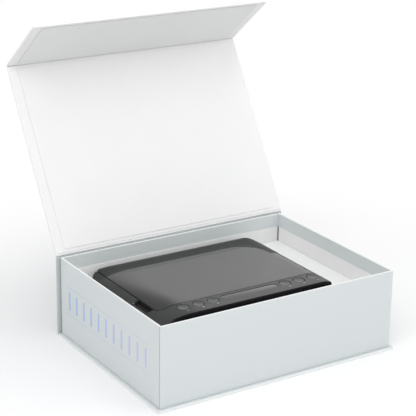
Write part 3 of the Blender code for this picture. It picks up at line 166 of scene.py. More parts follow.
class Groups:
    """The shader node groups that several finishes share."""

    # Places of the mask that cuts the coat back at the left and the rear roll-off, painting shade into their
    # reflection.
    SHADE_SLANT = 0.3
    SHADE_LEFT = (-0.112, -0.080)
    SHADE_CORNER = (("X", 0.048), ("Y", 0.036))
    SHADE_RADIUS = (0.0375, 0.0355)
    SHADE_REAR = (0.036, 0.030)

    def __init__(self) -> None:
        """Build each group once."""
        self.grain = self._grain()
        self.waves = self._waves()
        self.dots = self._dots()
        self.lines = self._lines()
        self.edge = self._edge()
        self.coat_shade = self._coat_shade()

    @staticmethod
    def _start(name: str, inputs: Sequence[tuple[str, float]], outputs: Sequence[str]) -> bpy.types.NodeTree:
        """Start a group with float inputs and float outputs.

        Args:
            name: the group's name.
            inputs: each input's name and default value.
            outputs: each output's name.

        Returns:
            The new group, with its two end nodes.
        """
        group = bpy.data.node_groups.new(name, "ShaderNodeTree")
        for label, value in inputs:
            socket = group.interface.new_socket(label, in_out="INPUT", socket_type="NodeSocketFloat")
            socket.default_value = value
        for label in outputs:
            group.interface.new_socket(label, in_out="OUTPUT", socket_type="NodeSocketFloat")
        group.nodes.new("NodeGroupInput")
        group.nodes.new("NodeGroupOutput")
        return group

    @staticmethod
    def _ends(group: bpy.types.NodeTree) -> tuple[bpy.types.Node, bpy.types.Node]:
        """The input node and the output node of a group."""
        return group.nodes["Group Input"], group.nodes["Group Output"]

    @staticmethod
    def _math(group: bpy.types.NodeTree, operation: str, *values: object) -> bpy.types.NodeSocket:
        """Add a Math node whose inputs are sockets or numbers.

        Args:
            group: the tree that the node goes in.
            operation: the Math node's operation.
            values: a socket or a number for each input.

        Returns:
            The node's output socket.
        """
        node = group.nodes.new("ShaderNodeMath")
        node.operation = operation
        for slot, value in zip(node.inputs, values):
            if isinstance(value, bpy.types.NodeSocket):
                group.links.new(value, slot)
            else:
                slot.default_value = value
        return node.outputs[0]

    def _grain(self) -> bpy.types.NodeTree:
        """Fine noise: a height for bumps and a slow value for roughness, both from 0 to 1."""
        group = self._start("fine_grain", (("Scale", 400.0), ("Detail", 4.0)), ("Height", "Slow"))
        start, end = self._ends(group)
        place = group.nodes.new("ShaderNodeTexCoord")
        fine = group.nodes.new("ShaderNodeTexNoise")
        slow = group.nodes.new("ShaderNodeTexNoise")
        group.links.new(place.outputs["Object"], fine.inputs["Vector"])
        group.links.new(place.outputs["Object"], slow.inputs["Vector"])
        group.links.new(start.outputs["Scale"], fine.inputs["Scale"])
        group.links.new(start.outputs["Detail"], fine.inputs["Detail"])
        slow.inputs["Scale"].default_value = 22.0
        slow.inputs["Detail"].default_value = 5.0
        group.links.new(fine.outputs["Fac"], end.inputs["Height"])
        group.links.new(slow.outputs["Fac"], end.inputs["Slow"])
        return group

    def _waves(self) -> bpy.types.NodeTree:
        """Fine wavy lines on the surface's own metres, as a mask from 0 to 1."""
        group = self._start("wavy_print", (("Scale", 90.0), ("Distortion", 5.0)), ("Mask",))
        start, end = self._ends(group)
        place = group.nodes.new("ShaderNodeUVMap")
        place.uv_map = UV_NAME
        wave = group.nodes.new("ShaderNodeTexWave")
        wave.wave_type = "BANDS"
        wave.bands_direction = "Y"
        wave.inputs["Detail"].default_value = 2.0
        wave.inputs["Detail Scale"].default_value = 0.3
        group.links.new(place.outputs["UV"], wave.inputs["Vector"])
        group.links.new(start.outputs["Scale"], wave.inputs["Scale"])
        group.links.new(start.outputs["Distortion"], wave.inputs["Distortion"])
        narrow = self._math(group, "POWER", wave.outputs["Fac"], 3.0)
        group.links.new(narrow, end.inputs["Mask"])
        return group

    def _dots(self) -> bpy.types.NodeTree:
        """A square grid of round dots seen from above, as a mask from 0 to 1."""
        group = self._start("round_dots", (("Pitch", 0.0011), ("Radius", 0.26)), ("Mask",))
        start, end = self._ends(group)
        place = group.nodes.new("ShaderNodeTexCoord")
        split = group.nodes.new("ShaderNodeSeparateXYZ")
        group.links.new(place.outputs["Object"], split.inputs["Vector"])
        squares = []
        for axis in ("X", "Y"):
            cells = self._math(group, "DIVIDE", split.outputs[axis], start.outputs["Pitch"])
            part = self._math(group, "FRACT", cells)
            middle = self._math(group, "SUBTRACT", part, 0.5)
            squares.append(self._math(group, "MULTIPLY", middle, middle))
        distance = self._math(group, "SQRT", self._math(group, "ADD", *squares))
        inside = self._math(group, "LESS_THAN", distance, start.outputs["Radius"])
        group.links.new(inside, end.inputs["Mask"])
        return group

    def _lines(self) -> bpy.types.NodeTree:
        """Stretched noise, as brush marks, as a mask from 0 to 1."""
        group = self._start("brush_lines", (("Scale", 900.0), ("Stretch", 0.03)), ("Mask",))
        start, end = self._ends(group)
        place = group.nodes.new("ShaderNodeTexCoord")
        split = group.nodes.new("ShaderNodeSeparateXYZ")
        join = group.nodes.new("ShaderNodeCombineXYZ")
        noise = group.nodes.new("ShaderNodeTexNoise")
        group.links.new(place.outputs["Object"], split.inputs["Vector"])
        along = self._math(group, "MULTIPLY", split.outputs["X"], start.outputs["Stretch"])
        group.links.new(along, join.inputs["X"])
        group.links.new(split.outputs["Y"], join.inputs["Y"])
        group.links.new(split.outputs["Z"], join.inputs["Z"])
        group.links.new(join.outputs["Vector"], noise.inputs["Vector"])
        group.links.new(start.outputs["Scale"], noise.inputs["Scale"])
        group.links.new(noise.outputs["Fac"], end.inputs["Mask"])
        return group

    def _ramp(self, group: bpy.types.NodeTree, value: bpy.types.NodeSocket, start: float, end: float
              ) -> bpy.types.NodeSocket:
        """A smooth step: 0 where the value is at the start, 1 where it is at the end."""
        node = group.nodes.new("ShaderNodeMapRange")
        node.interpolation_type = "SMOOTHSTEP"
        group.links.new(value, node.inputs["Value"])
        node.inputs["From Min"].default_value = start
        node.inputs["From Max"].default_value = end
        return node.outputs["Result"]

    def _coat_shade(self) -> bpy.types.NodeTree:
        """Where the coat stays, as a mask: cut back at the left and the rear roll-off, which paints shade
        into their reflection.
        """
        group = self._start("gloss_coat", (("Floor", 0.0),), ("Mask",))
        start, end = self._ends(group)
        place = group.nodes.new("ShaderNodeTexCoord")
        split = group.nodes.new("ShaderNodeSeparateXYZ")
        group.links.new(place.outputs["Object"], split.inputs["Vector"])
        slanted = self._math(group, "MULTIPLY_ADD", split.outputs["Y"], self.SHADE_SLANT, split.outputs["X"])
        left = self._ramp(group, slanted, *self.SHADE_LEFT)
        past = [self._math(group, "SUBTRACT", split.outputs[axis], place)
                for axis, place in self.SHADE_CORNER]
        corner = [self._math(group, "MAXIMUM", part, 0.0) for part in past]
        squares = [self._math(group, "MULTIPLY", part, part) for part in corner]
        reach = self._math(group, "SQRT", self._math(group, "ADD", *squares))
        back = self._ramp(group, reach, *self.SHADE_RADIUS)
        rear = self._math(group, "MAXIMUM", back, self._ramp(group, split.outputs["Y"], *self.SHADE_REAR))
        both = self._math(group, "MULTIPLY", left, rear)
        group.links.new(self._math(group, "MAXIMUM", both, start.outputs["Floor"]), end.inputs["Mask"])
        return group

    def _edge(self) -> bpy.types.NodeTree:
        """Whitening along the marked edges of a piece, broken up by noise, as a mask from 0 to 1."""
        group = self._start("edge_wear", (("Amount", 0.8), ("Breakup", 240.0)), ("Mask",))
        start, end = self._ends(group)
        rim = group.nodes.new("ShaderNodeAttribute")
        rim.attribute_name = RIM_ATTRIBUTE
        place = group.nodes.new("ShaderNodeTexCoord")
        noise = group.nodes.new("ShaderNodeTexNoise")
        group.links.new(place.outputs["Object"], noise.inputs["Vector"])
        group.links.new(start.outputs["Breakup"], noise.inputs["Scale"])
        broken = self._math(group, "MULTIPLY_ADD", noise.outputs["Fac"], 0.5, 0.7)
        whitened = self._math(group, "MULTIPLY", rim.outputs["Fac"], broken)
        amount = self._math(group, "MULTIPLY", whitened, start.outputs["Amount"])
        group.links.new(self._math(group, "MINIMUM", amount, 1.0), end.inputs["Mask"])
        return group


class Paint:
    """Makes one material for each finish, on first use."""

    def __init__(self) -> None:
        """Start with the shared groups and no materials."""
        self.groups = Groups()
        self.made: dict[str, bpy.types.Material] = {}

    def material(self, finish: Finish) -> bpy.types.Material:
        """The material of a finish.

        Args:
            finish: the finish to look up or make.

        Returns:
            Its material, made once.
        """
        if finish.name not in self.made:
            self.made[finish.name] = self._make(finish)
        return self.made[finish.name]

    @staticmethod
    def _group(tree: bpy.types.NodeTree, group: bpy.types.NodeTree, **values: float) -> bpy.types.Node:
        """Place a group in a material with its own values."""
        node = tree.nodes.new("ShaderNodeGroup")
        node.node_tree = group
        for name, value in values.items():
            node.inputs[name].default_value = value
        return node

    @staticmethod
    def _mix(tree: bpy.types.NodeTree, factor: bpy.types.NodeSocket, first: object, second: object
             ) -> bpy.types.NodeSocket:
        """Mix two colours, each a socket or a plain colour, by a factor.

        Args:
            tree: the material's tree.
            factor: the socket of the mask.
            first: what shows where the mask is 0.
            second: what shows where the mask is 1.

        Returns:
            The mixed colour's socket.
        """
        node = tree.nodes.new("ShaderNodeMix")
        node.data_type = "RGBA"
        tree.links.new(factor, node.inputs["Factor"])
        for socket, value in ((node.inputs[6], first), (node.inputs[7], second)):
            if isinstance(value, bpy.types.NodeSocket):
                tree.links.new(value, socket)
            else:
                socket.default_value = (*value, 1.0)
        return node.outputs[2]

    @staticmethod
    def _scaled(tree: bpy.types.NodeTree, value: bpy.types.NodeSocket, factor: float, offset: float
                ) -> bpy.types.NodeSocket:
        """A value times a factor plus an offset."""
        node = tree.nodes.new("ShaderNodeMath")
        node.operation = "MULTIPLY_ADD"
        tree.links.new(value, node.inputs[0])
        node.inputs[1].default_value = factor
        node.inputs[2].default_value = offset
        return node.outputs[0]

    def _make(self, finish: Finish) -> bpy.types.Material:
        """Build a finish's nodes round one Principled shader."""
        material = bpy.data.materials.new(finish.name)
        material.use_nodes = True
        tree = material.node_tree
        shader = tree.nodes["Principled BSDF"]
        shader.inputs["Metallic"].default_value = finish.metallic
        shader.inputs["Specular IOR Level"].default_value = finish.specular
        shader.inputs["Coat Weight"].default_value = finish.coat
        shader.inputs["Coat Roughness"].default_value = 0.03
        if finish.pattern is Pattern.CLEAR:
            shader.inputs["Transmission Weight"].default_value = 1.0
            shader.inputs["IOR"].default_value = 1.49
        grain = self._group(tree, self.groups.grain, Scale=finish.scale)
        colour, height = self._pattern(tree, finish, grain)
        # The coat follows the mask: cut back at the left and the rear roll-off, painting shade into their
        # reflection.
        if finish.pattern in (Pattern.GLOSS_PAINTED_SHADE, Pattern.PERFORATED):
            full = finish.pattern is Pattern.GLOSS_PAINTED_SHADE
            coat = self._group(tree, self.groups.coat_shade, Floor=0.06)
            strength = 1.0 if full else 0.5
            weight = self._scaled(tree, coat.outputs["Mask"], strength, 0.0)
            tree.links.new(weight, shader.inputs["Coat Weight"])
            shader.inputs["Coat Roughness"].default_value = 0.03 if full else 0.12
        tree.links.new(colour, shader.inputs["Base Color"])
        low = finish.roughness - finish.spread / 2
        rough = self._scaled(tree, grain.outputs["Slow"], finish.spread, max(low, 0.02))
        tree.links.new(rough, shader.inputs["Roughness"])
        bump = tree.nodes.new("ShaderNodeBump")
        bump.inputs["Strength"].default_value = finish.relief
        bump.inputs["Distance"].default_value = BUMP_REACH
        tree.links.new(height, bump.inputs["Height"])
        tree.links.new(bump.outputs["Normal"], shader.inputs["Normal"])
        return material

    def _pattern(self, tree: bpy.types.NodeTree, finish: Finish, grain: bpy.types.Node
                 ) -> tuple[bpy.types.NodeSocket, bpy.types.NodeSocket]:
        """Colour and height of a finish's pattern.

        Args:
            tree: the material's tree.
            finish: the finish being made.
            grain: its placed grain group.

        Returns:
            The sockets of the colour and of the bump height.
        """
        height = grain.outputs["Height"]
        if finish.pattern is Pattern.PRINTED_PAPER:
            waves = self._group(tree, self.groups.waves, Scale=finish.scale)
            printed = self._mix(tree, self._scaled(tree, waves.outputs["Mask"], 0.45, 0.0),
                                finish.colour, finish.second)
            # The paper is drawn whiter along the marked edges.
            edge = self._group(tree, self.groups.edge, Amount=0.9)
            wrapped = self._mix(tree, edge.outputs["Mask"], printed, EDGE_WHITE)
            zone = tree.nodes.new("ShaderNodeAttribute")
            zone.attribute_name = ZONE_ATTRIBUTE
            return self._mix(tree, zone.outputs["Fac"], wrapped, INSIDE_WHITE), height
        if finish.pattern is Pattern.FADE:
            place = tree.nodes.new("ShaderNodeTexCoord")
            split = tree.nodes.new("ShaderNodeSeparateXYZ")
            tree.links.new(place.outputs["Object"], split.inputs["Vector"])
            share = self._scaled(tree, split.outputs["Y"], -5.4, 0.5)
            return self._mix(tree, share, finish.colour, finish.second), height
        if finish.pattern is Pattern.PERFORATED:
            dots = self._group(tree, self.groups.dots)
            zone = tree.nodes.new("ShaderNodeAttribute")
            zone.attribute_name = ZONE_ATTRIBUTE
            both = tree.nodes.new("ShaderNodeMath")
            both.operation = "MULTIPLY"
            tree.links.new(dots.outputs["Mask"], both.inputs[0])
            tree.links.new(zone.outputs["Fac"], both.inputs[1])
            return self._mix(tree, both.outputs[0], finish.colour, finish.second), height
        if finish.pattern in (Pattern.BRUSHED, Pattern.TRACKS, Pattern.WINDING):
            lines = self._group(tree, self.groups.lines, Scale=finish.scale)
            sharp = self._scaled(tree, lines.outputs["Mask"], 2.4, -0.7)
            return self._mix(tree, sharp, finish.colour, finish.second), lines.outputs["Mask"]
        if finish.pattern is Pattern.CARD:
            slow = self._scaled(tree, grain.outputs["Slow"], 1.0, 0.0)
            return self._mix(tree, slow, finish.colour, finish.second), height
        darker = tuple(0.86 * part for part in finish.colour)
        return self._mix(tree, grain.outputs["Slow"], finish.colour, darker), height


def outline(sides: Sequence[float], radii: Sequence[float], inset: float = 0.0, steps: int = 10,
            side_steps: int = 0) -> Plan:
    """Points round a rectangle with rounded corners, anticlockwise seen from above.

    Each corner is a quarter circle: centre plus radius times cosine and sine of
    an angle that runs a quarter turn. An inset moves the sides in and takes as
    much off each radius. Straight sides get evenly spaced points between.

    Args:
        sides: left, right, front and back.
        radii: front-left, front-right, back-right and back-left.
        inset: how far the outline is drawn in.
        steps: segments in each corner.
        side_steps: points added along each straight side.

    Returns:
        An array of x and y.
    """
    left, right, front, back = np.array(sides) + inset * np.array([1.0, -1.0, 1.0, -1.0])
    rounds = np.maximum(np.array(radii) - inset, LEAST_RADIUS)[:, None]
    corner = np.array([[left, front], [right, front], [right, back], [left, back]])
    inward = np.array([[1, 1], [-1, 1], [-1, -1], [1, -1]])
    turn = np.array([math.pi, 1.5 * math.pi, 0.0, 0.5 * math.pi])[:, None]
    angle = turn + np.linspace(0.0, 0.5 * math.pi, steps + 1)[None, :]
    centre = corner + inward * rounds
    arcs = centre[:, None, :] + rounds[:, :, None] * np.stack([np.cos(angle), np.sin(angle)], axis=2)
    if not side_steps:
        return arcs.reshape(-1, 2)
    share = (np.arange(1, side_steps + 1) / (side_steps + 1))[None, :, None]
    ends, starts = arcs[:, -1:, :], np.roll(arcs[:, :1, :], -1, axis=0)
    between = ends * (1 - share) + starts * share
    return np.concatenate([arcs, between], axis=1).reshape(-1, 2)


def lifted(plan: Plan, height: float | np.ndarray) -> Row:
    """Give a plan outline its height, one for all points or one for each."""
    return np.column_stack([plan, np.broadcast_to(height, len(plan))])


@dataclass
class Surface:
    """Points and faces of one mesh, before it becomes an object."""

    points: np.ndarray
    faces: list[list[int]]
    rim: np.ndarray

    @staticmethod
    def skin(rows: Sequence[Row], ring: bool = False, rims: Sequence[int] = ()) -> "Surface":
        """Skin rows of equal length with quads, and close the ends unless it is a ring.

        Point (row, column) joins (row, column + 1), (row + 1, column + 1) and
        (row + 1, column), with columns running round.

        Args:
            rows: closed outlines, each an array of points.
            ring: whether the last row joins the first.
            rims: the numbers of the rows that lie on an edge that is drawn whiter.

        Returns:
            The closed surface.
        """
        grid = np.stack(rows)
        count, width = grid.shape[:2]
        last = count if ring else count - 1
        row = np.repeat(np.arange(last), width)
        column = np.tile(np.arange(width), last)
        after, upper = (column + 1) % width, (row + 1) % count
        quads = np.stack([row * width + column, row * width + after, upper * width + after,
                          upper * width + column], axis=1)
        faces = quads.tolist()
        if not ring:
            faces.append(list(range(width - 1, -1, -1)))
            faces.append(list(range((count - 1) * width, count * width)))
        rim = np.zeros((count, width))
        rim[list(rims)] = 1.0
        return Surface(grid.reshape(-1, 3), faces, rim.reshape(-1))

    @staticmethod
    def turned(profile: np.ndarray, place: Sequence[float], axis: str = "Z", steps: int = 40) -> "Surface":
        """Turn a profile of (distance along the axis, radius) about an axis.

        Args:
            profile: the pairs, from the low end to the high end.
            place: the point that the distances count from.
            axis: X, Y or Z.
            steps: points round.

        Returns:
            The closed surface.
        """
        order = {"X": (2, 0, 1), "Y": (1, 2, 0), "Z": (0, 1, 2)}[axis]
        angle = np.linspace(0.0, 2 * math.pi, steps, endpoint=False)
        rows = []
        for distance, radius in profile:
            level = np.full(steps, distance)
            local = np.column_stack([radius * np.cos(angle), radius * np.sin(angle), level])
            rows.append(local[:, order] + np.array(place))
        return Surface.skin(rows)

    @staticmethod
    def ribbon(path: np.ndarray, width: float, low: np.ndarray, high: float) -> "Surface":
        """A thin upright wall along a path, as a cutter: width across, from low to high.

        Args:
            path: points in plan.
            width: the wall's thickness.
            low: the wall's lower edge at each point.
            high: its upper edge.

        Returns:
            The closed surface.
        """
        along = np.gradient(path, axis=0)
        along /= np.linalg.norm(along, axis=1, keepdims=True)
        across = np.column_stack([-along[:, 1], along[:, 0]]) * width / 2
        tops = np.full(len(path), high)
        grid = np.stack([lifted(path - across, low), lifted(path + across, low),
                         lifted(path + across, tops), lifted(path - across, tops)], axis=1)
        return Surface.skin(list(grid))


def merged(surfaces: Sequence[Surface]) -> Surface:
    """Several surfaces as one."""
    starts = np.cumsum([0] + [len(one.points) for one in surfaces[:-1]])
    faces = [[index + int(start) for index in face]
             for one, start in zip(surfaces, starts) for face in one.faces]
    return Surface(np.concatenate([one.points for one in surfaces]), faces,
                   np.concatenate([one.rim for one in surfaces]))


def arc_profile(start: Sequence[float], end: Sequence[float], steps: int = 5) -> np.ndarray:
    """A quarter ellipse of (inset, height) pairs that leaves start upright and arrives level.

    Args:
        start: inset and height where the wall ends.
        end: inset and height where the flat begins.
        steps: segments.

    Returns:
        The pairs, start and end among them.
    """
    angle = np.linspace(0.0, 0.5 * math.pi, steps + 1)
    share = np.column_stack([1 - np.cos(angle), np.sin(angle)])
    return np.array(start) + share * (np.array(end) - np.array(start))


class Maker:
    """Turns surfaces into dressed pieces that ride on the frame's bodies."""

    def __init__(self, paint: Paint) -> None:
        """Keep the paint, and count what is made."""
        self.paint = paint
        self.count = 0

    def raw(self, name: str, surface: Surface) -> bpy.types.Object:
        """A bare object from a surface, with its normals out."""
        mesh = bpy.data.meshes.new(name)
        mesh.from_pydata(surface.points.tolist(), [], surface.faces)
        rim = mesh.attributes.new(RIM_ATTRIBUTE, "FLOAT", "POINT")
        rim.data.foreach_set("value", surface.rim.astype(np.float32))
        mesh.validate()
        piece = bpy.data.objects.new(name, mesh)
        bpy.context.scene.collection.objects.link(piece)
        return piece

    def cut(self, piece: bpy.types.Object, cutters: Sequence[Surface], operation: str = "DIFFERENCE") -> None:
        """Cut surfaces out of a piece, or join them to it, and keep the result as its mesh.

        Args:
            piece: the object to change.
            cutters: closed surfaces.
            operation: the Boolean modifier's operation.
        """
        tools = []
        for index, surface in enumerate(cutters):
            tool = self.raw(f"{piece.name}_tool_{index}", surface)
            modifier = piece.modifiers.new(tool.name, "BOOLEAN")
            modifier.operation = operation
            modifier.solver = "EXACT"
            modifier.object = tool
            tools.append(tool)
        graph = bpy.context.evaluated_depsgraph_get()
        result = bpy.data.meshes.new_from_object(piece.evaluated_get(graph))
        piece.modifiers.clear()
        old = piece.data
        piece.data = result
        bpy.data.meshes.remove(old)
        for tool in tools:
            data = tool.data
            bpy.data.objects.remove(tool)
            bpy.data.meshes.remove(data)

    def dress(self, piece: bpy.types.Object, finish: Finish, body: str, slot: str,
              replaces: Sequence[str] = (), turn: np.ndarray | None = None, sharp: float = 35.0) -> None:
        """Give a piece its surface metres, place, finish and body.

        Args:
            piece: the object, drawn in its closed place.
            finish: its finish.
            body: the frame's body that it rides on.
            slot: the record's material slot; not used.
            replaces: the nodes that it stands for.
            turn: the matrix from its drawn place to its place at rest.
            sharp: edges above this angle in degrees stay sharp.
        """
        mesh = piece.data
        self._metres(mesh)
        if turn is not None:
            mesh.transform(Matrix(turn.tolist()))
        mesh.polygons.foreach_set("use_smooth", np.ones(len(mesh.polygons), dtype=bool))
        mesh.set_sharp_from_angle(angle=math.radians(sharp))
        mesh.materials.clear()
        mesh.materials.append(self.paint.material(finish))
        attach(piece, body)
        if replaces:
            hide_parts(*replaces)
        self.count += 1
        LOG.info("piece %s on %s, %d faces", piece.name, body, len(mesh.polygons))

    @staticmethod
    def _metres(mesh: bpy.types.Mesh) -> None:
        """Write a map in metres: each face is seen along its normal's longest part."""
        corners, faces = len(mesh.loops), len(mesh.polygons)
        points = np.empty(len(mesh.vertices) * 3)
        mesh.vertices.foreach_get("co", points)
        index = np.empty(corners, dtype=np.int32)
        mesh.loops.foreach_get("vertex_index", index)
        normals = np.empty(faces * 3)
        mesh.polygons.foreach_get("normal", normals)
        totals = np.empty(faces, dtype=np.int32)
        mesh.polygons.foreach_get("loop_total", totals)
        longest = np.repeat(np.abs(normals.reshape(-1, 3)).argmax(axis=1), totals)
        place = points.reshape(-1, 3)[index]
        across = np.where(longest == 0, place[:, 1], place[:, 0])
        upward = np.where(longest == 2, place[:, 1], place[:, 2])
        layer = mesh.uv_layers.new(name=UV_NAME)
        layer.data.foreach_set("uv", np.column_stack([across, upward]).reshape(-1))

    def piece(self, name: str, surface: Surface, finish: Finish, body: str, slot: str,
              **more: object) -> None:
        """Make and dress a piece from one surface."""
        self.dress(self.raw(name, surface), finish, body, slot, **more)

    def keep(self, finish: Finish, *names: str) -> None:
        """Give nodes of the frame, whose shape is right, their finish."""
        for name in names:
            mesh = bpy.data.objects[name].data
            mesh.materials.clear()
            mesh.materials.append(self.paint.material(finish))


@dataclass
class HingeLines:
    """The two hinge lines of the box, and the turns from closed to rest."""

    lid_point: np.ndarray = field(init=False)
    flap_point: np.ndarray = field(init=False)
    lid_turn: np.ndarray = field(init=False)
    flap_turn: np.ndarray = field(init=False)

    @staticmethod
    def about(point: np.ndarray, angle: float) -> np.ndarray:
        """Turn by an angle about a line along X through a point, as a matrix."""
        cosine, sine = math.cos(angle), math.sin(angle)
        turn = np.eye(4)
        turn[1:3, 1:3] = [[cosine, -sine], [sine, cosine]]
        turn[:3, 3] = point - turn[:3, :3] @ point
        return turn

    @classmethod
    def read(cls, joints: Sequence[dict]) -> "HingeLines":
        """Work the lines out from the frame's joints.

        The flap's line lies level with the lid's when the box is closed, as far
        away as the two joints are at rest.

        Args:
            joints: the frame's joints.

        Returns:
            The lines and the turns.
        """
        found = {joint["name"]: joint for joint in joints}
        lid, flap = found["case_lid_turn"], found["front_flap_turn"]
        lines = cls()
        lines.lid_point = np.array(lid["pos_m"])
        reach = float(np.linalg.norm(np.array(flap["pos_m"]) - lines.lid_point))
        lines.flap_point = lines.lid_point - np.array([0.0, reach, 0.0])
        lines.lid_turn = cls.about(lines.lid_point, math.radians(lid["range_deg"][0]))
        lines.flap_turn = lines.lid_turn @ cls.about(lines.flap_point, math.radians(flap["range_deg"][0]))
        return lines


@dataclass
class PresentationBox:
    """The wrapped boards, their creases and linings."""

    maker: Maker
    hinges: HingeLines
    board: float = 2.3 * MM
    round: float = 0.55 * MM
    lining_gap: float = 1.3 * MM
    crease_radius: float = 1.1 * MM
    board_gap: float = 1.4 * MM
    tab_width: float = 14.0 * MM
    tab_rise: float = 0.12 * MM
    gap_shadow_inset: float = 0.8 * MM
    gap_shadow_width: float = 2.5 * MM
    seam_place: float = 0.7 * MM
    seam_width: float = 0.5 * MM
    seam_rise: float = 0.06 * MM
    tab_depth: float = 0.4 * MM
    sheet: float = 0.5 * MM
    flap_gap: float = 0.6 * MM
    rule_span: tuple[float, float] = (-89.0 * MM, 95.0 * MM)
    rule_heights: tuple[float, float] = (65.5 * MM, 32.4 * MM)
    rule_width: float = 0.4 * MM
    bar_heights: tuple[float, float] = (38.0 * MM, 60.0 * MM)
    bar_margins: tuple[float, float] = (6.0 * MM, 8.0 * MM)
    bar_width: float = 3.4 * MM
    bars: int = 11

    def make(self) -> None:
        """Build and dress the whole box."""
        self.tray()
        self.linings()
        self.boards()
        self.lid_and_flap()

    def rounded_board(self, low: Sequence[float], high: Sequence[float]) -> Surface:
        """A board with all edges rounded: quarter-ellipse profiles round a rectangle.

        Args:
            low: its lowest corner.
            high: its highest corner.

        Returns:
            The closed surface, with its edges marked as rims.
        """
        thin = min(self.round, 0.45 * min(high[axis] - low[axis] for axis in range(3)))
        sides = (low[0], high[0], low[1], high[1])
        radii = (1.2 * thin,) * 4
        below = arc_profile((0.0, low[2] + thin), (thin, low[2]))[::-1]
        above = arc_profile((0.0, high[2] - thin), (thin, high[2]))
        rows = [lifted(outline(sides, radii, inset, 5), height) for inset, height in (*below, *above)]
        board = Surface.skin(rows)
        across = np.minimum(board.points - np.array(low), np.array(high) - board.points)
        broad = np.argsort(np.array(high) - np.array(low))[1:]
        board.rim = (across[:, broad].min(axis=1) < 0.6 * thin).astype(float)
        return board

    def tray(self) -> None:
        """Floor and walls as one wrapped shell: a profile carried round the rectangle."""
        low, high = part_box("tray")
        sides, wall, soft = (low.x, high.x, low.y, high.y), self.board, self.round
        floor = low.z + wall
        outer = arc_profile((0.0, low.z + soft), (soft, low.z))[::-1]
        top_out = arc_profile((0.0, high.z - soft), (soft, high.z))
        top_in = arc_profile((wall, high.z - soft), (wall - soft, high.z))[::-1]
        profile = [*outer, *top_out, *top_in, (wall, floor)]
        radii = (1.3 * soft,) * 4
        rows = [lifted(outline(sides, radii, inset, 5), height) for inset, height in profile]
        rims = range(len(outer) + 2, len(outer) + len(top_out) + len(top_in) - 2)
        self.maker.piece("wrapped_tray", Surface.skin(rows, rims=list(rims)), BOX_PAPER, "case", "box_paper",
                         replaces=["tray"])
        self.corner_tabs(low, high)

    def corner_tabs(self, low: Vector, high: Vector) -> None:
        """Overlaps of the wrapping paper, folded round each upright corner."""
        tabs = []
        rise, width, soft = self.tab_rise, self.tab_width, self.round
        for x, side in ((low.x, -1), (high.x, 1)):
            for y, inward in ((low.y, 1), (high.y, -1)):
                outer = x + side * rise
                inner = x - side * self.tab_depth
                near, far = y + inward * soft, y + inward * width
                plan = np.array([[inner, near], [outer, near], [outer, far], [inner, far]])
                plan = plan[::side * inward]
                heights = (low.z + 2 * soft, high.z - 2 * soft)
                tabs.append(Surface.skin([lifted(plan, height) for height in heights]))
        self.maker.piece("corner_overlaps", merged(tabs), BOX_PAPER, "case", "box_paper")

    def linings(self) -> None:
        """Four sheets inside the tray that stop just short of its corners."""
        low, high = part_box("tray_lining")
        thick, gap = self.sheet, self.lining_gap
        spans = (
            ((low.x + gap, low.y), (high.x - gap, low.y + thick)),
            ((high.x - thick, low.y + gap), (high.x, high.y - gap)),
            ((low.x + gap, high.y - thick), (high.x - gap, high.y)),
            ((low.x, low.y + gap), (low.x + thick, high.y - gap)),
        )
        sheets = [self.rounded_board((*near, low.z), (*far, high.z)) for near, far in spans]
        self.maker.piece("wall_lining_sheets", merged(sheets), LINING_PAPER, "case", "box_lining",
                         replaces=["tray_lining"])
        # Painted shadow: dark strips in the corner slits between the sheets, where the tray's wall lies in
        # shade.
        slits = []
        for x, inward in ((low.x, 1), (high.x, -1)):
            for y, forward in ((low.y, 1), (high.y, -1)):
                corners = ((x, y), (x + inward * 0.8 * gap, y + forward * 0.8 * gap))
                near, far = np.min(corners, axis=0), np.max(corners, axis=0)
                slits.append(self.rounded_board((*near, low.z), (*far, high.z)))
        self.maker.piece("lining_corner_slits", merged(slits), SHADOW_AND_SEAM_DARK, "case", "box_lining")
        self.maker.keep(PLAIN_STEEL, "tray_steel_plate_left", "tray_steel_plate_right")

    def boards(self) -> None:
        """The base board and the spine board."""
        for name, node, finish in (("wrapped_base_board", "base_board", BOX_PAPER),
                                   ("wrapped_spine_board", "spine_board", SPINE_PAPER_AND_SHADE)):
            low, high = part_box(node)
            self.maker.piece(name, self.rounded_board(low, high), finish, "case", "box_paper",
                             replaces=[node])
        tray_low, tray_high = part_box("tray")
        spine_low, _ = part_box("spine_board")
        seams = []
        # Painted shadow: a dark strip at each end of the gap between tray and spine, where the gap lies in
        # shade.
        for place in (tray_low.x + self.gap_shadow_inset, tray_high.x - self.gap_shadow_inset - self.gap_shadow_width):
            seams.append(self.rounded_board((place, tray_high.y, tray_low.z),
                                            (place + self.gap_shadow_width, spine_low.y, tray_high.z)))
        # Dark seams along the paper's overlaps near each upright corner.
        for x, side in ((tray_low.x, -1), (tray_high.x, 1)):
            for y, inward in ((tray_low.y, 1), (tray_high.y, -1)):
                start = y + inward * self.seam_place
                spans = np.sort([start, start + inward * self.seam_width])
                across = np.sort([x - side * self.tab_rise, x + side * (self.tab_rise + self.seam_rise)])
                seams.append(self.rounded_board((across[0], spans[0], tray_low.z + self.round),
                                                (across[1], spans[1], tray_high.z - 2 * self.round)))
        self.maker.piece("glue_and_corner_seams", merged(seams), SHADOW_AND_SEAM_DARK, "case", "box_paper")
        self.rules(tray_low)

    def rules(self, low: Vector) -> None:
        """Plain generic print on the left short wall: two fine rules and a row of upright bars."""
        near, far = low.x - self.seam_rise, low.x + self.tab_rise
        front, back = self.rule_span
        foot, head = self.bar_heights
        shapes = []
        for height in self.rule_heights:
            shapes.append(self.rounded_board((near, front, height), (far, back, height + self.rule_width)))
        for place in np.linspace(front + self.bar_margins[0], back - self.bar_margins[1], self.bars):
            shapes.append(self.rounded_board((near, place, foot), (far, place + self.bar_width, head)))
        self.maker.piece("printed_rules", merged(shapes), RULE_INK, "case", "box_paper")

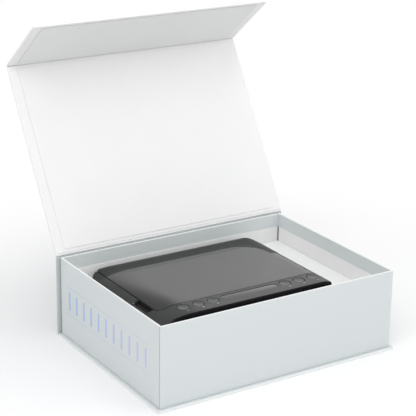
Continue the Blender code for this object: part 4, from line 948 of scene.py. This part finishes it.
    def lid_and_flap(self) -> None:
        """The lid and the flap with their creases, worked out closed and turned open."""
        base_low, base_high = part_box("base_board")
        lid, flap = self.hinges.lid_point, self.hinges.flap_point
        half = self.board / 2
        reach = self.board_gap
        left, right = base_low.x, base_high.x
        lid_low = (left, flap[1] + reach, lid[2] - half)
        lid_high = (right, lid[1] - reach, lid[2] + half)
        lid_board = self.maker.raw("wrapped_lid_board", self.rounded_board(lid_low, lid_high))
        self.mark_inside(lid_board, 2, lid[2], -1.0)
        self.maker.dress(lid_board, BOX_PAPER, "case_lid", "box_paper", ["case_lid"], self.hinges.lid_turn)
        flap_low = (left, flap[1] - half, base_high.z + self.flap_gap)
        flap_high = (right, flap[1] + half, flap[2] - reach)
        board = self.maker.raw("wrapped_flap_board", self.rounded_board(flap_low, flap_high))
        self.mark_inside(board, 1, flap[1], 1.0)
        self.maker.dress(board, BOX_PAPER, "front_flap", "box_paper", ["front_flap"], self.hinges.flap_turn)
        rod = self.crease_rod(left, right)
        self.maker.piece("lid_fold", Surface(rod.points + lid, rod.faces, rod.rim), EDGE_PAPER, "case_lid",
                         "box_paper", replaces=["lid_crease"], turn=self.hinges.lid_turn)
        flap_rod = Surface(rod.points + flap, rod.faces, rod.rim)
        self.maker.piece("flap_fold", flap_rod, EDGE_PAPER, "front_flap", "box_paper",
                         replaces=["flap_crease"], turn=self.hinges.flap_turn)
        self.maker.keep(LINING_PAPER, "case_lid_lining")
        self.maker.keep(FLAP_PAPER, "front_flap_lining")
        self.maker.keep(NICKEL, "flap_magnet_left", "flap_magnet_right")

    @staticmethod
    def mark_inside(board: bpy.types.Object, axis: int, middle: float, side: float) -> None:
        """Mark a board's inner face, which has plain white paper: 1 past its middle plane, else 0."""
        mesh = board.data
        points = np.empty(len(mesh.vertices) * 3)
        mesh.vertices.foreach_get("co", points)
        share = (side * (points.reshape(-1, 3)[:, axis] - middle) > 0).astype(np.float32)
        zone = mesh.attributes.new(ZONE_ATTRIBUTE, "FLOAT", "POINT")
        zone.data.foreach_set("value", share)

    def crease_rod(self, left: float, right: float) -> Surface:
        """The folded paper of a crease: a rod along X with rounded ends."""
        radius = self.crease_radius
        angle = np.linspace(0.0, 0.5 * math.pi, 5)
        start = np.column_stack([left + radius * (1 - np.sin(angle)), radius * np.cos(angle)])[::-1]
        end = np.column_stack([right - radius * (1 - np.sin(angle)), radius * np.cos(angle)])
        profile = np.concatenate([start, end])
        profile[:, 1] = np.maximum(profile[:, 1], AXIS_RADIUS)
        return Surface.turned(profile, (0.0, 0.0, 0.0), "X", 28)


@dataclass
class CardInsert:
    """The white platform with its well."""

    maker: Maker
    radii: tuple[float, ...]
    clearance: float = 0.8 * MM
    card: float = 1.0 * MM
    fold: float = 0.9 * MM

    def make(self, sides: Sequence[float]) -> None:
        """Build the platform round the sanitizer's outline.

        The card runs up the skirt, over the top and down into the well, and
        back along its inner face, with quarter-ellipse folds.

        Args:
            sides: the sanitizer's left, right, front and back.
        """
        low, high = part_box("insert_platform")
        outer = (low.x, high.x, low.y, high.y)
        square = (self.fold,) * 4
        skirt = [(0.0, low.z), *arc_profile((0.0, high.z - self.fold), (self.fold, high.z))]
        rows = [lifted(outline(outer, square, inset, 9), height) for inset, height in skirt]
        for inset, height in self.falling(high.z):
            rows.append(lifted(outline(sides, self.radii, inset - self.clearance, 9), height))
        inner = self.card
        for inset, height in ((-self.clearance - inner, low.z), (-self.clearance - inner, high.z - inner)):
            rows.append(lifted(outline(sides, self.radii, inset, 9), height))
        for inset, height in ((inner, high.z - inner), (inner, low.z)):
            rows.append(lifted(outline(outer, square, inset, 9), height))
        self.maker.piece("folded_platform", Surface.skin(rows, ring=True), INSERT_CARD, "case", "insert_card",
                         replaces=["insert_platform"])
        self.maker.keep(INSERT_CARD, "insert_floor")

    def falling(self, top: float) -> np.ndarray:
        """The fold from the platform's top down into the well, as inset and height."""
        angle = np.linspace(0.0, 0.5 * math.pi, 6)
        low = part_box("insert_platform")[0].z
        fold = np.column_stack([-self.fold * (1 - np.sin(angle)), top - self.fold * (1 - np.cos(angle))])
        return np.concatenate([fold, [[0.0, low]]])


@dataclass
class Crown:
    """The sanitizer's top: level, and falling off at the left, the right and the back."""

    sides: tuple[float, float, float, float]
    top: float
    left_fall: float = 8.0 * MM
    left_width: float = 42.0 * MM
    right_fall: float = 3.5 * MM
    right_width: float = 14.0 * MM
    back_fall: float = 5.5 * MM
    back_width: float = 16.0 * MM

    def height(self, plan: Plan) -> np.ndarray:
        """Height over each plan point: three squared falls, joined as the root of their squares.

        Args:
            plan: an array of x and y.

        Returns:
            The heights.
        """
        left, right, _, back = self.sides
        shares = (np.maximum(0.0, 1 - (plan[:, 0] - left) / self.left_width),
                  np.maximum(0.0, 1 - (right - plan[:, 0]) / self.right_width),
                  np.maximum(0.0, 1 - (back - plan[:, 1]) / self.back_width))
        falls = (self.left_fall, self.right_fall, self.back_fall)
        squared = sum((fall * share ** 2) ** 2 for fall, share in zip(falls, shares))
        return self.top - np.sqrt(squared)


@dataclass
class SanitizerBody:
    """Lower shell, deck, keys, light bar, grille and feet."""

    maker: Maker
    crown: Crown
    radii: tuple[float, ...]
    lid_left: float
    lid_front: float
    lid_radii: tuple[float, ...]
    wall: float = 2.2 * MM
    edge: float = 2.2 * MM
    bottom_radius: float = 5.0 * MM
    groove: float = 1.3 * MM
    ledge_drop: float = 11.5 * MM
    key_clearance: float = 0.5 * MM
    mark_drop: float = 10.4 * MM
    band_width: float = 3.0 * MM
    band_start: float = 17.0 * MM
    band_gap: float = 0.12 * MM
    lens_rise: float = 0.2 * MM
    lens_radius: float = 1.6 * MM
    gap: float = 0.3 * MM
    overrun: float = 1.0 * MM
    screw_depth: float = 3.0 * MM
    foot_depth: float = 0.9 * MM
    socket_depth: float = 4.0 * MM
    chamber_radius: float = 14.0 * MM
    chamber_wall: float = 1.6 * MM
    chamber_foot: float = 5.0 * MM
    hinge_clearance: float = 1.4 * MM
    grille_clearance: float = 0.2 * MM
    band_end: float = 0.6 * MM
    bar_clearance: float = 0.35 * MM
    bar_rim: float = 0.4 * MM
    dots_inset: float = 1.5 * MM
    dots_fade: float = 0.5 * MM
    notch_radius: float = 0.8 * MM
    key_chamfer: float = 0.45 * MM
    key_stem: float = 1.2 * MM
    key_rim: float = 0.5 * MM
    key_dish: float = 0.45 * MM
    mark_half: float = 1.3 * MM
    mark_thick: float = 0.28 * MM
    mark_rise: float = 0.04 * MM
    mark_radius: float = 0.1 * MM
    pin_radii: tuple[float, float] = (0.65 * MM, 0.3 * MM)
    pin_places: tuple[float, float, float] = (2.5 * MM, 2.2 * MM, 1.8 * MM)

    def make(self) -> None:
        """Build and dress the lower part."""
        self.lower_shell()
        self.deck()
        self.keys()
        self.light_bar()
        self.marks()
        self.small_parts()

    def body_plan(self, inset: float, side_steps: int = 0) -> Plan:
        """The body's outline, drawn in by an inset."""
        return outline(self.crown.sides, self.radii, inset, 14, side_steps)

    def lower_shell(self) -> None:
        """The lower housing: a rounded bottom, upright walls and a hollow."""
        low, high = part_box("base_shell")
        curve = arc_profile((0.0, low.z + self.bottom_radius), (self.bottom_radius, low.z), 8)[::-1]
        inner = self.wall
        profile = [*curve, (0.0, high.z), (inner, high.z), (inner, low.z + self.bottom_radius),
                   (inner + self.bottom_radius, low.z + inner)]
        rows = [lifted(self.body_plan(inset), height) for inset, height in profile]
        shell = self.maker.raw("smooth_lower_shell", Surface.skin(rows))
        grille_low, grille_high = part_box("front_grille")
        inlet_low, inlet_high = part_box("power_inlet")
        gap, past = self.gap, self.overrun
        cutters = [self.block((grille_low.x - gap, low.y - past, grille_low.z - gap),
                              (grille_high.x + gap, grille_high.y + past, high.z + past)),
                   self.block((inlet_low.x - gap, high.y - self.socket_depth, inlet_low.z - gap),
                              (inlet_high.x + gap, high.y + past, inlet_high.z + gap))]
        for corner in ("front_left", "front_right", "back_right", "back_left"):
            for node, rise in (("base_screw_", self.screw_depth), ("rubber_foot_", self.foot_depth)):
                part_low, part_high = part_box(node + corner)
                middle = (part_low + part_high) / 2
                radius = (part_high.x - part_low.x) / 2 + gap
                profile = np.array([[low.z - 3 * past, radius], [low.z + rise, radius]])
                cutters.append(Surface.turned(profile, (middle.x, middle.y, 0.0)))
        self.maker.cut(shell, cutters)
        self.maker.dress(shell, SHELL_SATIN, "sanitizer", "lower_shell", ["base_shell"])

    @staticmethod
    def block(low: Sequence[float], high: Sequence[float]) -> Surface:
        """A plain block, used only to cut."""
        plan = np.array([[low[0], low[1]], [high[0], low[1]], [high[0], high[1]], [low[0], high[1]]])
        return Surface.skin([lifted(plan, low[2]), lifted(plan, high[2])])

    def crowned_rows(self, insets: Sequence[float], side_steps: int) -> list[Row]:
        """Rows on the crown at the given insets, the first ones rounding the rim."""
        angle = np.linspace(0.0, 0.5 * math.pi, 7)
        rows = []
        for turn in angle:
            plan = self.body_plan(self.edge * (1 - math.cos(turn)), side_steps)
            rows.append(lifted(plan, self.crown.height(plan) - self.edge * (1 - math.sin(turn))))
        for inset in insets:
            plan = self.body_plan(inset, side_steps)
            rows.append(lifted(plan, self.crown.height(plan)))
        return rows

    def deck(self) -> None:
        """The upper housing, with its recess for the lid, holes, notch and windows."""
        low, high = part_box("top_deck")
        side_steps = 44
        insets = np.linspace(self.edge, self.crown.left_width, 17)[1:]
        rows = [lifted(self.body_plan(0.0, side_steps), low.z), *self.crowned_rows(insets, side_steps)]
        skin = Surface.skin(rows)
        deck = self.maker.raw("smooth_deck", skin)
        gap, past = self.gap, self.overrun
        above = high.z + 3 * past
        ledge = high.z - self.ledge_drop
        recess = self.lid_plan(-self.groove)
        cutters = [Surface.skin([lifted(recess, ledge), lifted(recess, above)])]
        chamber_low, chamber_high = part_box("chamber_tub")
        window = outline((chamber_low.x, chamber_high.x, chamber_low.y, chamber_high.y),
                         (self.chamber_radius,) * 4, -gap, 10)
        cutters.append(Surface.skin([lifted(window, low.z - past), lifted(window, ledge + past)]))
        leaf_low, leaf_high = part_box("hinge_leaf_deck")
        cutters.append(self.block((self.hinge_side(), leaf_low.y - gap, leaf_low.z - gap),
                                  (high.x + past, leaf_high.y + gap, above)))
        cutters.append(self.block((self.hinge_side(), self.lid_front - self.groove, ledge),
                                  (high.x + past, high.y + past, above)))
        cutters.append(self.notch(above))
        grille_low, grille_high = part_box("front_grille")
        grille_back = grille_high.y + self.grille_clearance
        cutters.append(self.block((grille_low.x - gap, low.y - past, low.z - past),
                                  (grille_high.x + gap, grille_back, grille_high.z + gap)))
        cutters.extend(self.key_wells(low.z - past, high.z))
        last_well = cutters[-1]
        start, end, top = low.x + self.band_start, high.x - self.band_end, low.y + self.band_width
        space = self.block((start + self.band_gap, low.y - past, low.z - past),
                           (end - self.band_gap, top - self.band_gap, above))
        band = self.maker.raw("front_band", space)
        self.maker.cut(band, [skin], "INTERSECT")
        self.maker.cut(band, [last_well])
        self.maker.dress(band, BAND_BLACK, "sanitizer", "upper_shell")
        cutters.append(self.block((start, low.y - past, low.z - past), (end, top, above)))
        bar_low, bar_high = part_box("light_bar")
        bar = outline((bar_low.x, bar_high.x, bar_low.y, bar_high.y), ((bar_high.y - bar_low.y) / 2,) * 4,
                      -self.bar_clearance, 12)
        cutters.append(Surface.skin([lifted(bar, bar_low.z), lifted(bar, above)]))
        self.maker.cut(deck, cutters)
        self.mark_zone(deck)
        self.maker.dress(deck, DECK_SATIN, "sanitizer", "upper_shell", ["top_deck"], sharp=25.0)

    def hinge_side(self) -> float:
        """Where the lid's skirt ends at the right, just clear of the hinge."""
        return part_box("hinge_leaf_deck")[0].x - self.hinge_clearance

    def mark_zone(self, deck: bpy.types.Object) -> None:
        """Mark the perforated left shoulder: 1 on top and left of the lid's edge, else 0."""
        mesh = deck.data
        points = np.empty(len(mesh.vertices) * 3)
        mesh.vertices.foreach_get("co", points)
        places = points.reshape(-1, 3)
        inner = self.lid_left - self.dots_inset
        share = np.clip((inner - places[:, 0]) / self.dots_fade, 0.0, 1.0)
        share *= places[:, 2] > self.crown.height(places[:, :2]) - 0.7 * self.edge
        zone = mesh.attributes.new(ZONE_ATTRIBUTE, "FLOAT", "POINT")
        zone.data.foreach_set("value", share.astype(np.float32))

    def lid_plan(self, inset: float, side_steps: int = 0) -> Plan:
        """The lid's outline, open to the body's right and back sides."""
        _, right, _, back = self.crown.sides
        return outline((self.lid_left, right, self.lid_front, back), self.lid_radii, inset, 14, side_steps)

    def notch(self, above: float) -> Surface:
        """The thumb recess, as a rounded pocket."""
        grip_low, grip_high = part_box("thumb_grip")
        gap = self.gap
        plan = outline((grip_low.x - gap, self.lid_left, grip_low.y - gap, grip_high.y + gap),
                       (self.notch_radius,) * 4, 0.0, 5)
        return Surface.skin([lifted(plan, grip_low.z - gap), lifted(plan, above)])

    def key_wells(self, low: float, high: float) -> list[Surface]:
        """A bore with a small chamfer for each key."""
        wells = []
        for index in range(1, 7):
            key_low, key_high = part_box(f"key_{index}")
            radius = (key_high.x - key_low.x) / 2 + self.key_clearance
            middle = (key_low + key_high) / 2
            chamfer = self.key_chamfer
            profile = np.array([[low, radius], [high - chamfer, radius],
                                [high + chamfer, radius + 2 * chamfer]])
            wells.append(Surface.turned(profile, (middle.x, middle.y, 0.0), steps=48))
        return wells

    def keys(self) -> None:
        """Each key: a stem, a cap with a rounded rim and a shallow dish."""
        for index in range(1, 7):
            low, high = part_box(f"key_{index}")
            radius = (high.x - low.x) / 2
            middle = (low + high) / 2
            shoulder, rim, dish = low.z + self.key_stem, self.key_rim, self.key_dish
            angle = np.linspace(0.0, 0.5 * math.pi, 6)
            edge = np.column_stack([high.z - rim * (1 - np.sin(angle)), radius - rim * (1 - np.cos(angle))])
            inside = np.linspace(radius - rim, 0.06 * radius, 8)[1:]
            share = 1 - (inside / (radius - rim)) ** 2
            bowl = np.column_stack([high.z - dish * share, inside])
            stem = 0.25 * radius
            start = np.array([[low.z, stem], [shoulder, stem], [shoulder, radius]])
            profile = np.concatenate([start, edge, bowl])
            key = Surface.turned(profile, (middle.x, middle.y, 0.0), steps=48)
            self.maker.piece(f"round_key_{index}", key, KEY_SATIN, f"key_{index}_cap", "keys",
                             replaces=[f"key_{index}"])

    def light_bar(self) -> None:
        """The pill-shaped bar with a rounded rim."""
        low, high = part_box("light_bar")
        radius, rim = (high.y - low.y) / 2, self.bar_rim
        profile = [(0.0, low.z), *arc_profile((0.0, high.z - rim), (rim, high.z))]
        sides = (low.x, high.x, low.y, high.y)
        rows = [lifted(outline(sides, (radius,) * 4, inset, 12), height) for inset, height in profile]
        self.maker.piece("pill_light_bar", Surface.skin(rows), BAR_SMOKE, "sanitizer", "light_bar",
                         replaces=["light_bar"])

    def marks(self) -> None:
        """A plain generic sign in front of each key: bars, a ring, a plus and a triangle."""
        shapes = []
        half, thick, rise = self.mark_half, self.mark_thick, self.mark_rise
        for index in range(1, 7):
            low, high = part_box(f"key_{index}")
            x, y = (low.x + high.x) / 2, (low.y + high.y) / 2 - self.mark_drop
            base = float(self.crown.height(np.array([[x, y]]))[0])
            levels = (base - rise, base + rise)
            bars = [(x - half, x + half, y - thick, y + thick)]
            if index in (2, 5):
                bars.append((x - thick, x + thick, y + 2 * thick, y + half))
                bars.append((x - thick, x + thick, y - half, y - 2 * thick))
            if index in (3, 4):
                bars.append((x - half, x + half, y + 2 * thick, y + 4 * thick))
            for sides in bars:
                plan = outline(sides, (self.mark_radius,) * 4, 0.0, 3)
                shapes.append(Surface.skin([lifted(plan, level) for level in levels]))
        self.maker.piece("key_signs", merged(shapes), MARK_INK, "sanitizer", "keys")

    def small_parts(self) -> None:
        """Grille, grip, inlet, feet, screws and the parts inside."""
        keep = self.maker.keep
        corners = ("front_left", "front_right", "back_right", "back_left")
        keep(GRILLE_BLACK, "front_grille")
        keep(SOFT_RUBBER, "thumb_grip", "speaker_cone_left", "speaker_cone_right",
             *(f"rubber_foot_{corner}" for corner in corners))
        keep(MATT_BLACK, "power_inlet", "lid_sensor", "speaker_basket_left", "speaker_basket_right",
             "coil_shield", "hinge_leaf_deck")
        keep(PLAIN_STEEL, "latch_catch", "hinge_pin", *(f"base_screw_{corner}" for corner in corners))
        keep(NICKEL, "speaker_magnet_left", "speaker_magnet_right")
        keep(CIRCUIT, "key_board", "main_board", "uv_base_lamps")
        keep(COPPER, "charge_coil")
        keep(CLEAR_SHELF, "phone_shelf")
        self.inlet_pin()
        self.chamber()
        self.lamps("uv_base_lamps", "base_lamp_lenses", "sanitizer", 1.0)
        self.lamps("uv_lid_lamps", "lid_lamp_lenses", "sanitizer_lid", -1.0)

    def lamps(self, node: str, name: str, body: str, side: float) -> None:
        """A row of small round lenses on a lamp board, on its upper or lower face."""
        low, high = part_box(node)
        middle, long = (low + high) / 2, 0 if high.x - low.x > high.y - low.y else 1
        face = high.z if side > 0 else low.z
        radius = min(self.lens_radius, 0.35 * min(high.x - low.x, high.y - low.y))
        angle = np.linspace(0.0, 0.5 * math.pi, 6)
        heights = self.lens_rise * np.sin(angle) * side
        profile = np.column_stack([heights, np.maximum(radius * np.cos(angle), AXIS_RADIUS)])
        if side < 0:
            profile = profile[::-1]
        lenses = []
        for share in np.linspace(-0.42, 0.42, 6):
            place = [middle.x, middle.y, face]
            place[long] += share * ((high - low)[long])
            lenses.append(Surface.turned(profile, place, steps=20))
        self.maker.piece(name, merged(lenses), LAMP_GLASS, body, "circuit")

    def inlet_pin(self) -> None:
        """The centre pin of the power socket."""
        low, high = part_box("power_inlet")
        middle = (low + high) / 2
        (thick, thin), (start, neck, tip) = self.pin_radii, self.pin_places
        profile = np.array([[low.y + start, thick], [high.y - neck, thick], [high.y - tip, thin]])
        self.maker.piece("inlet_centre_pin", Surface.turned(profile, (middle.x, 0.0, middle.z), "Y", 20),
                         NICKEL, "sanitizer", "steel")

    def chamber(self) -> None:
        """The chamber's tub, with a rounded foot and rim."""
        low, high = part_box("chamber_tub")
        sides, wall = (low.x, high.x, low.y, high.y), self.chamber_wall
        floor, foot = low.z + wall, self.chamber_foot
        profile = [(0.0, low.z), (0.0, high.z), (wall, high.z)]
        angle = np.linspace(0.0, 0.5 * math.pi, 8)
        inward, upward = foot * (1 - np.cos(angle)), foot * (1 - np.sin(angle))
        profile += list(np.column_stack([wall + inward, floor + upward]))
        round_corners = (self.chamber_radius,) * 4
        rows = [lifted(outline(sides, round_corners, inset, 14), height) for inset, height in profile]
        self.maker.piece("chamber_reflector_tub", Surface.skin(rows), CHAMBER_WHITE, "sanitizer",
                         "chamber_lining", replaces=["chamber_tub"])


@dataclass
class SanitizerLid:
    """The crowned lid and what is under it."""

    maker: Maker
    lower: SanitizerBody
    edge: float = 0.9 * MM
    wall: float = 2.0 * MM
    lip_drop: float = 7.0 * MM
    seam_width: float = 0.7 * MM
    seam_depth: float = 0.9 * MM
    seam_corner: float = 3.0 * MM
    seam_end: float = 0.6 * MM
    overrun: float = 1.0 * MM
    rim_blend: float = 6.0 * MM
    skirt_gap: float = 0.4 * MM
    ceiling: float = 5.7 * MM
    flat_margin: float = 10.0 * MM

    def make(self) -> None:
        """Build and dress the lid."""
        self.cover()
        keep = self.maker.keep
        keep(CHAMBER_WHITE, "lid_liner")
        keep(CLEAR_SHELF, "uv_lid_window")
        keep(CIRCUIT, "uv_lid_lamps")
        keep(SOFT_RUBBER, "lid_seal")
        keep(NICKEL, "lid_magnet")
        keep(MATT_BLACK, "hinge_leaf_lid")

    def rim_size(self, plan: Plan) -> np.ndarray:
        """Rounding of the lid's rim: small at the groove, larger at the outer sides.

        It blends with the distance from the right and the back sides.

        Args:
            plan: points of the outline.

        Returns:
            The rounding at each point.
        """
        _, right, _, back = self.lower.crown.sides
        near = np.minimum(right - plan[:, 0], back - plan[:, 1])
        share = np.clip(1 - near / self.rim_blend, 0.0, 1.0)
        smooth = share * share * (3 - 2 * share)
        return self.edge + smooth * (self.lower.edge - self.edge)

    def cover(self) -> None:
        """The cover: a crowned skin, a rim, a lip over the hinge, a skirt and a hollow."""
        low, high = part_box("lid_cover")
        crown, lower = self.lower.crown, self.lower
        side_steps = 60
        rim_plan = lower.lid_plan(0.0, side_steps)
        inner_plan = lower.lid_plan(lower.edge, side_steps)
        size = self.rim_size(rim_plan)
        toward = (inner_plan - rim_plan) / lower.edge
        rows = []
        skirt_right = lower.hinge_side()
        rim_foot = crown.height(rim_plan) - size
        skirt_x = np.minimum(rim_plan[:, 0], skirt_right - self.skirt_gap)
        skirt_plan = np.column_stack([skirt_x, rim_plan[:, 1]])
        lip = np.minimum(high.z - self.lip_drop, rim_foot - self.skirt_gap)
        ceiling = low.z + self.ceiling
        hollow = self.skirt_inset(skirt_plan, self.wall)
        rows.append(lifted(hollow, ceiling))
        rows.append(lifted(hollow, low.z))
        rows.append(lifted(skirt_plan, low.z))
        rows.append(lifted(skirt_plan, lip))
        rows.append(lifted(rim_plan, lip))
        for turn in np.linspace(0.0, 0.5 * math.pi, 8):
            plan = rim_plan + toward * (size * (1 - math.cos(turn)))[:, None]
            rows.append(lifted(plan, crown.height(plan) - size * (1 - math.sin(turn))))
        for inset in np.linspace(lower.edge, crown.left_width - self.flat_margin, 26):
            plan = lower.lid_plan(inset, side_steps)
            rows.append(lifted(plan, crown.height(plan)))
        cover = self.maker.raw("crowned_lid", Surface.skin(rows))
        self.maker.cut(cover, [self.hinge_seam(high.z)])
        self.maker.dress(cover, LID_GLOSS, "sanitizer_lid", "lid_shell", ["lid_cover"], sharp=32.0)

    @staticmethod
    def skirt_inset(plan: Plan, inset: float) -> Plan:
        """Draw a convex outline towards its middle by an inset along each axis."""
        middle = (plan.max(axis=0) + plan.min(axis=0)) / 2
        half = (plan.max(axis=0) - plan.min(axis=0)) / 2
        return middle + (plan - middle) * (half - inset) / half

    def hinge_seam(self, top: float) -> Surface:
        """The fine seam round the hinge's cover strip, following the crown."""
        _, leaf_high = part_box("hinge_leaf_deck")
        x, front, back = self.lower.hinge_side(), self.lower.lid_front, leaf_high.y - self.seam_end
        right = self.lower.crown.sides[1] + 2 * self.overrun
        corner = self.seam_corner
        angle = np.linspace(math.pi, 0.5 * math.pi, 6)
        bend = np.column_stack([x + corner + corner * np.cos(angle), back - corner + corner * np.sin(angle)])
        along = np.column_stack([np.full(20, x), np.linspace(front - self.overrun, back - corner, 21)[:-1]])
        across = np.column_stack([np.linspace(x + corner, right, 7)[1:], np.full(6, back)])
        path = np.concatenate([along, bend, across])
        inside = np.minimum(path[:, 0], self.lower.crown.sides[1])
        floor = self.lower.crown.height(np.column_stack([inside, path[:, 1]])) - self.seam_depth
        beyond = np.maximum(0.0, path[:, 0] - (self.lower.crown.sides[1] - self.lower.edge))
        floor = floor - 0.5 * beyond
        return Surface.ribbon(path, self.seam_width, floor, top + 2 * self.overrun)


@dataclass
class Studio:
    """Floor, light and the photograph's viewpoint."""

    eye: tuple[float, float, float] = (-0.8227, -1.2451, 0.6864)
    yaw: float = math.radians(33.23)
    pitch: float = math.radians(-19.64)
    roll: float = math.radians(1.11)
    lens: float = 124.47
    shift: tuple[float, float] = (-0.0327, 0.0147)
    floor_size: float = 12.0
    white_from: tuple[float, float] = (0.2, 0.6)
    floor_drop: float = 0.1 * MM
    lamps: tuple[tuple[str, tuple[float, float, float], float, float], ...] = (
        ("key_softbox", (-1.3, -1.0, 1.9), 1.6, 21.0),
        ("fill_softbox", (1.5, -1.5, 1.3), 1.8, 13.0),
        ("top_softbox", (0.2, 0.1, 2.2), 1.6, 8.0),
    )

    def make(self) -> None:
        """Set the camera, the light and the floor."""
        self.camera()
        self.light()
        self.floor()
        bpy.context.scene.view_settings.view_transform = "Standard"

    def camera(self) -> None:
        """The camera: forward from yaw and pitch, then rolled about the view."""
        level = math.cos(self.pitch)
        forward = np.array([level * math.sin(self.yaw), level * math.cos(self.yaw), math.sin(self.pitch)])
        right = np.cross(forward, [0.0, 0.0, 1.0])
        right /= np.linalg.norm(right)
        up = np.cross(right, forward)
        across = math.cos(self.roll) * right + math.sin(self.roll) * up
        upward = -math.sin(self.roll) * right + math.cos(self.roll) * up
        turn = np.eye(4)
        turn[:3, 0], turn[:3, 1], turn[:3, 2] = across, upward, -forward
        turn[:3, 3] = self.eye
        data = bpy.data.cameras.new("photo_camera")
        data.lens = self.lens
        data.sensor_width = 36.0
        data.sensor_fit = "HORIZONTAL"
        data.shift_x, data.shift_y = self.shift
        data.clip_end = 50.0
        camera = bpy.data.objects.new("photo_camera", data)
        camera.matrix_world = Matrix(turn.tolist())
        bpy.context.scene.collection.objects.link(camera)
        bpy.context.scene.camera = camera

    def light(self) -> None:
        """A pale world and three large soft lamps."""
        world = bpy.data.worlds.new("studio_world")
        world.use_nodes = True
        tree = world.node_tree
        plain = tree.nodes["Background"]
        plain.inputs["Color"].default_value = (0.985, 0.99, 1.0, 1.0)
        plain.inputs["Strength"].default_value = 0.6
        white = tree.nodes.new("ShaderNodeBackground")
        white.inputs["Color"].default_value = (1.0, 1.0, 1.0, 1.0)
        white.inputs["Strength"].default_value = 1.0
        mix = tree.nodes.new("ShaderNodeMixShader")
        tree.links.new(self.seen(tree), mix.inputs["Fac"])
        tree.links.new(plain.outputs["Background"], mix.inputs[1])
        tree.links.new(white.outputs["Background"], mix.inputs[2])
        tree.links.new(mix.outputs["Shader"], tree.nodes["World Output"].inputs["Surface"])
        bpy.context.scene.world = world
        for lamp in self.lamps:
            self.softbox(*lamp)

    @staticmethod
    def seen(tree: bpy.types.NodeTree) -> bpy.types.NodeSocket:
        """Whether a ray comes from the camera, a reflection or clear plastic, as 0 or 1."""
        path = tree.nodes.new("ShaderNodeLightPath")
        total = path.outputs["Is Camera Ray"]
        for name in ("Is Glossy Ray", "Is Transmission Ray"):
            add = tree.nodes.new("ShaderNodeMath")
            add.operation = "MAXIMUM"
            tree.links.new(total, add.inputs[0])
            tree.links.new(path.outputs[name], add.inputs[1])
            total = add.outputs[0]
        return total

    @staticmethod
    def softbox(name: str, place: Sequence[float], size: float, power: float) -> None:
        """A square soft lamp that looks at the object."""
        data = bpy.data.lights.new(name, "AREA")
        data.shape, data.size, data.energy = "SQUARE", size, power
        lamp = bpy.data.objects.new(name, data)
        lamp.location = place
        aim = Vector((0.0, 0.05, 0.12)) - Vector(place)
        lamp.rotation_euler = aim.to_track_quat("-Z", "Y").to_euler()
        bpy.context.scene.collection.objects.link(lamp)

    def floor(self) -> None:
        """A wide pale floor just under the box."""
        half = self.floor_size / 2
        plan = np.array([[-half, -half], [half, -half], [half, half], [-half, half]])
        mesh = bpy.data.meshes.new("pale_floor")
        mesh.from_pydata(lifted(plan, -self.floor_drop).tolist(), [], [[0, 1, 2, 3]])
        floor = bpy.data.objects.new("pale_floor", mesh)
        bpy.context.scene.collection.objects.link(floor)
        material = bpy.data.materials.new("pale_floor")
        material.use_nodes = True
        tree = material.node_tree
        shader = tree.nodes["Principled BSDF"]
        shader.inputs["Base Color"].default_value = (0.93, 0.93, 0.93, 1.0)
        shader.inputs["Roughness"].default_value = 0.9
        white = tree.nodes.new("ShaderNodeEmission")
        white.inputs["Strength"].default_value = 1.0
        place = tree.nodes.new("ShaderNodeTexCoord")
        length = tree.nodes.new("ShaderNodeVectorMath")
        length.operation = "LENGTH"
        tree.links.new(place.outputs["Object"], length.inputs[0])
        away = tree.nodes.new("ShaderNodeMapRange")
        away.interpolation_type = "SMOOTHSTEP"
        away.inputs["From Min"].default_value, away.inputs["From Max"].default_value = self.white_from
        tree.links.new(length.outputs["Value"], away.inputs["Value"])
        both = tree.nodes.new("ShaderNodeMath")
        both.operation = "MULTIPLY"
        tree.links.new(away.outputs["Result"], both.inputs[0])
        tree.links.new(self.seen(tree), both.inputs[1])
        mix = tree.nodes.new("ShaderNodeMixShader")
        tree.links.new(both.outputs[0], mix.inputs["Fac"])
        tree.links.new(shader.outputs["BSDF"], mix.inputs[1])
        tree.links.new(white.outputs["Emission"], mix.inputs[2])
        tree.links.new(mix.outputs["Shader"], tree.nodes["Material Output"].inputs["Surface"])
        mesh.materials.append(material)


def main() -> None:
    """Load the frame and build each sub-assembly in order."""
    logging.basicConfig(level=logging.INFO, format="%(message)s")
    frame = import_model()
    Studio().make()
    maker = Maker(Paint())
    hinges = HingeLines.read(frame["joints"])
    PresentationBox(maker, hinges).make()
    low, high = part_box("top_deck")
    sides = (low.x, high.x, low.y, high.y)
    CardInsert(maker, BODY_RADII).make(sides)
    lid_low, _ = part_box("lid_cover")
    crown = Crown(sides, high.z)
    lower = SanitizerBody(maker, crown, BODY_RADII, lid_low.x, lid_low.y, LID_RADII)
    lower.make()
    SanitizerLid(maker, lower).make()
    LOG.info("%d pieces made", maker.count)


if __name__ == "__main__":
    main()
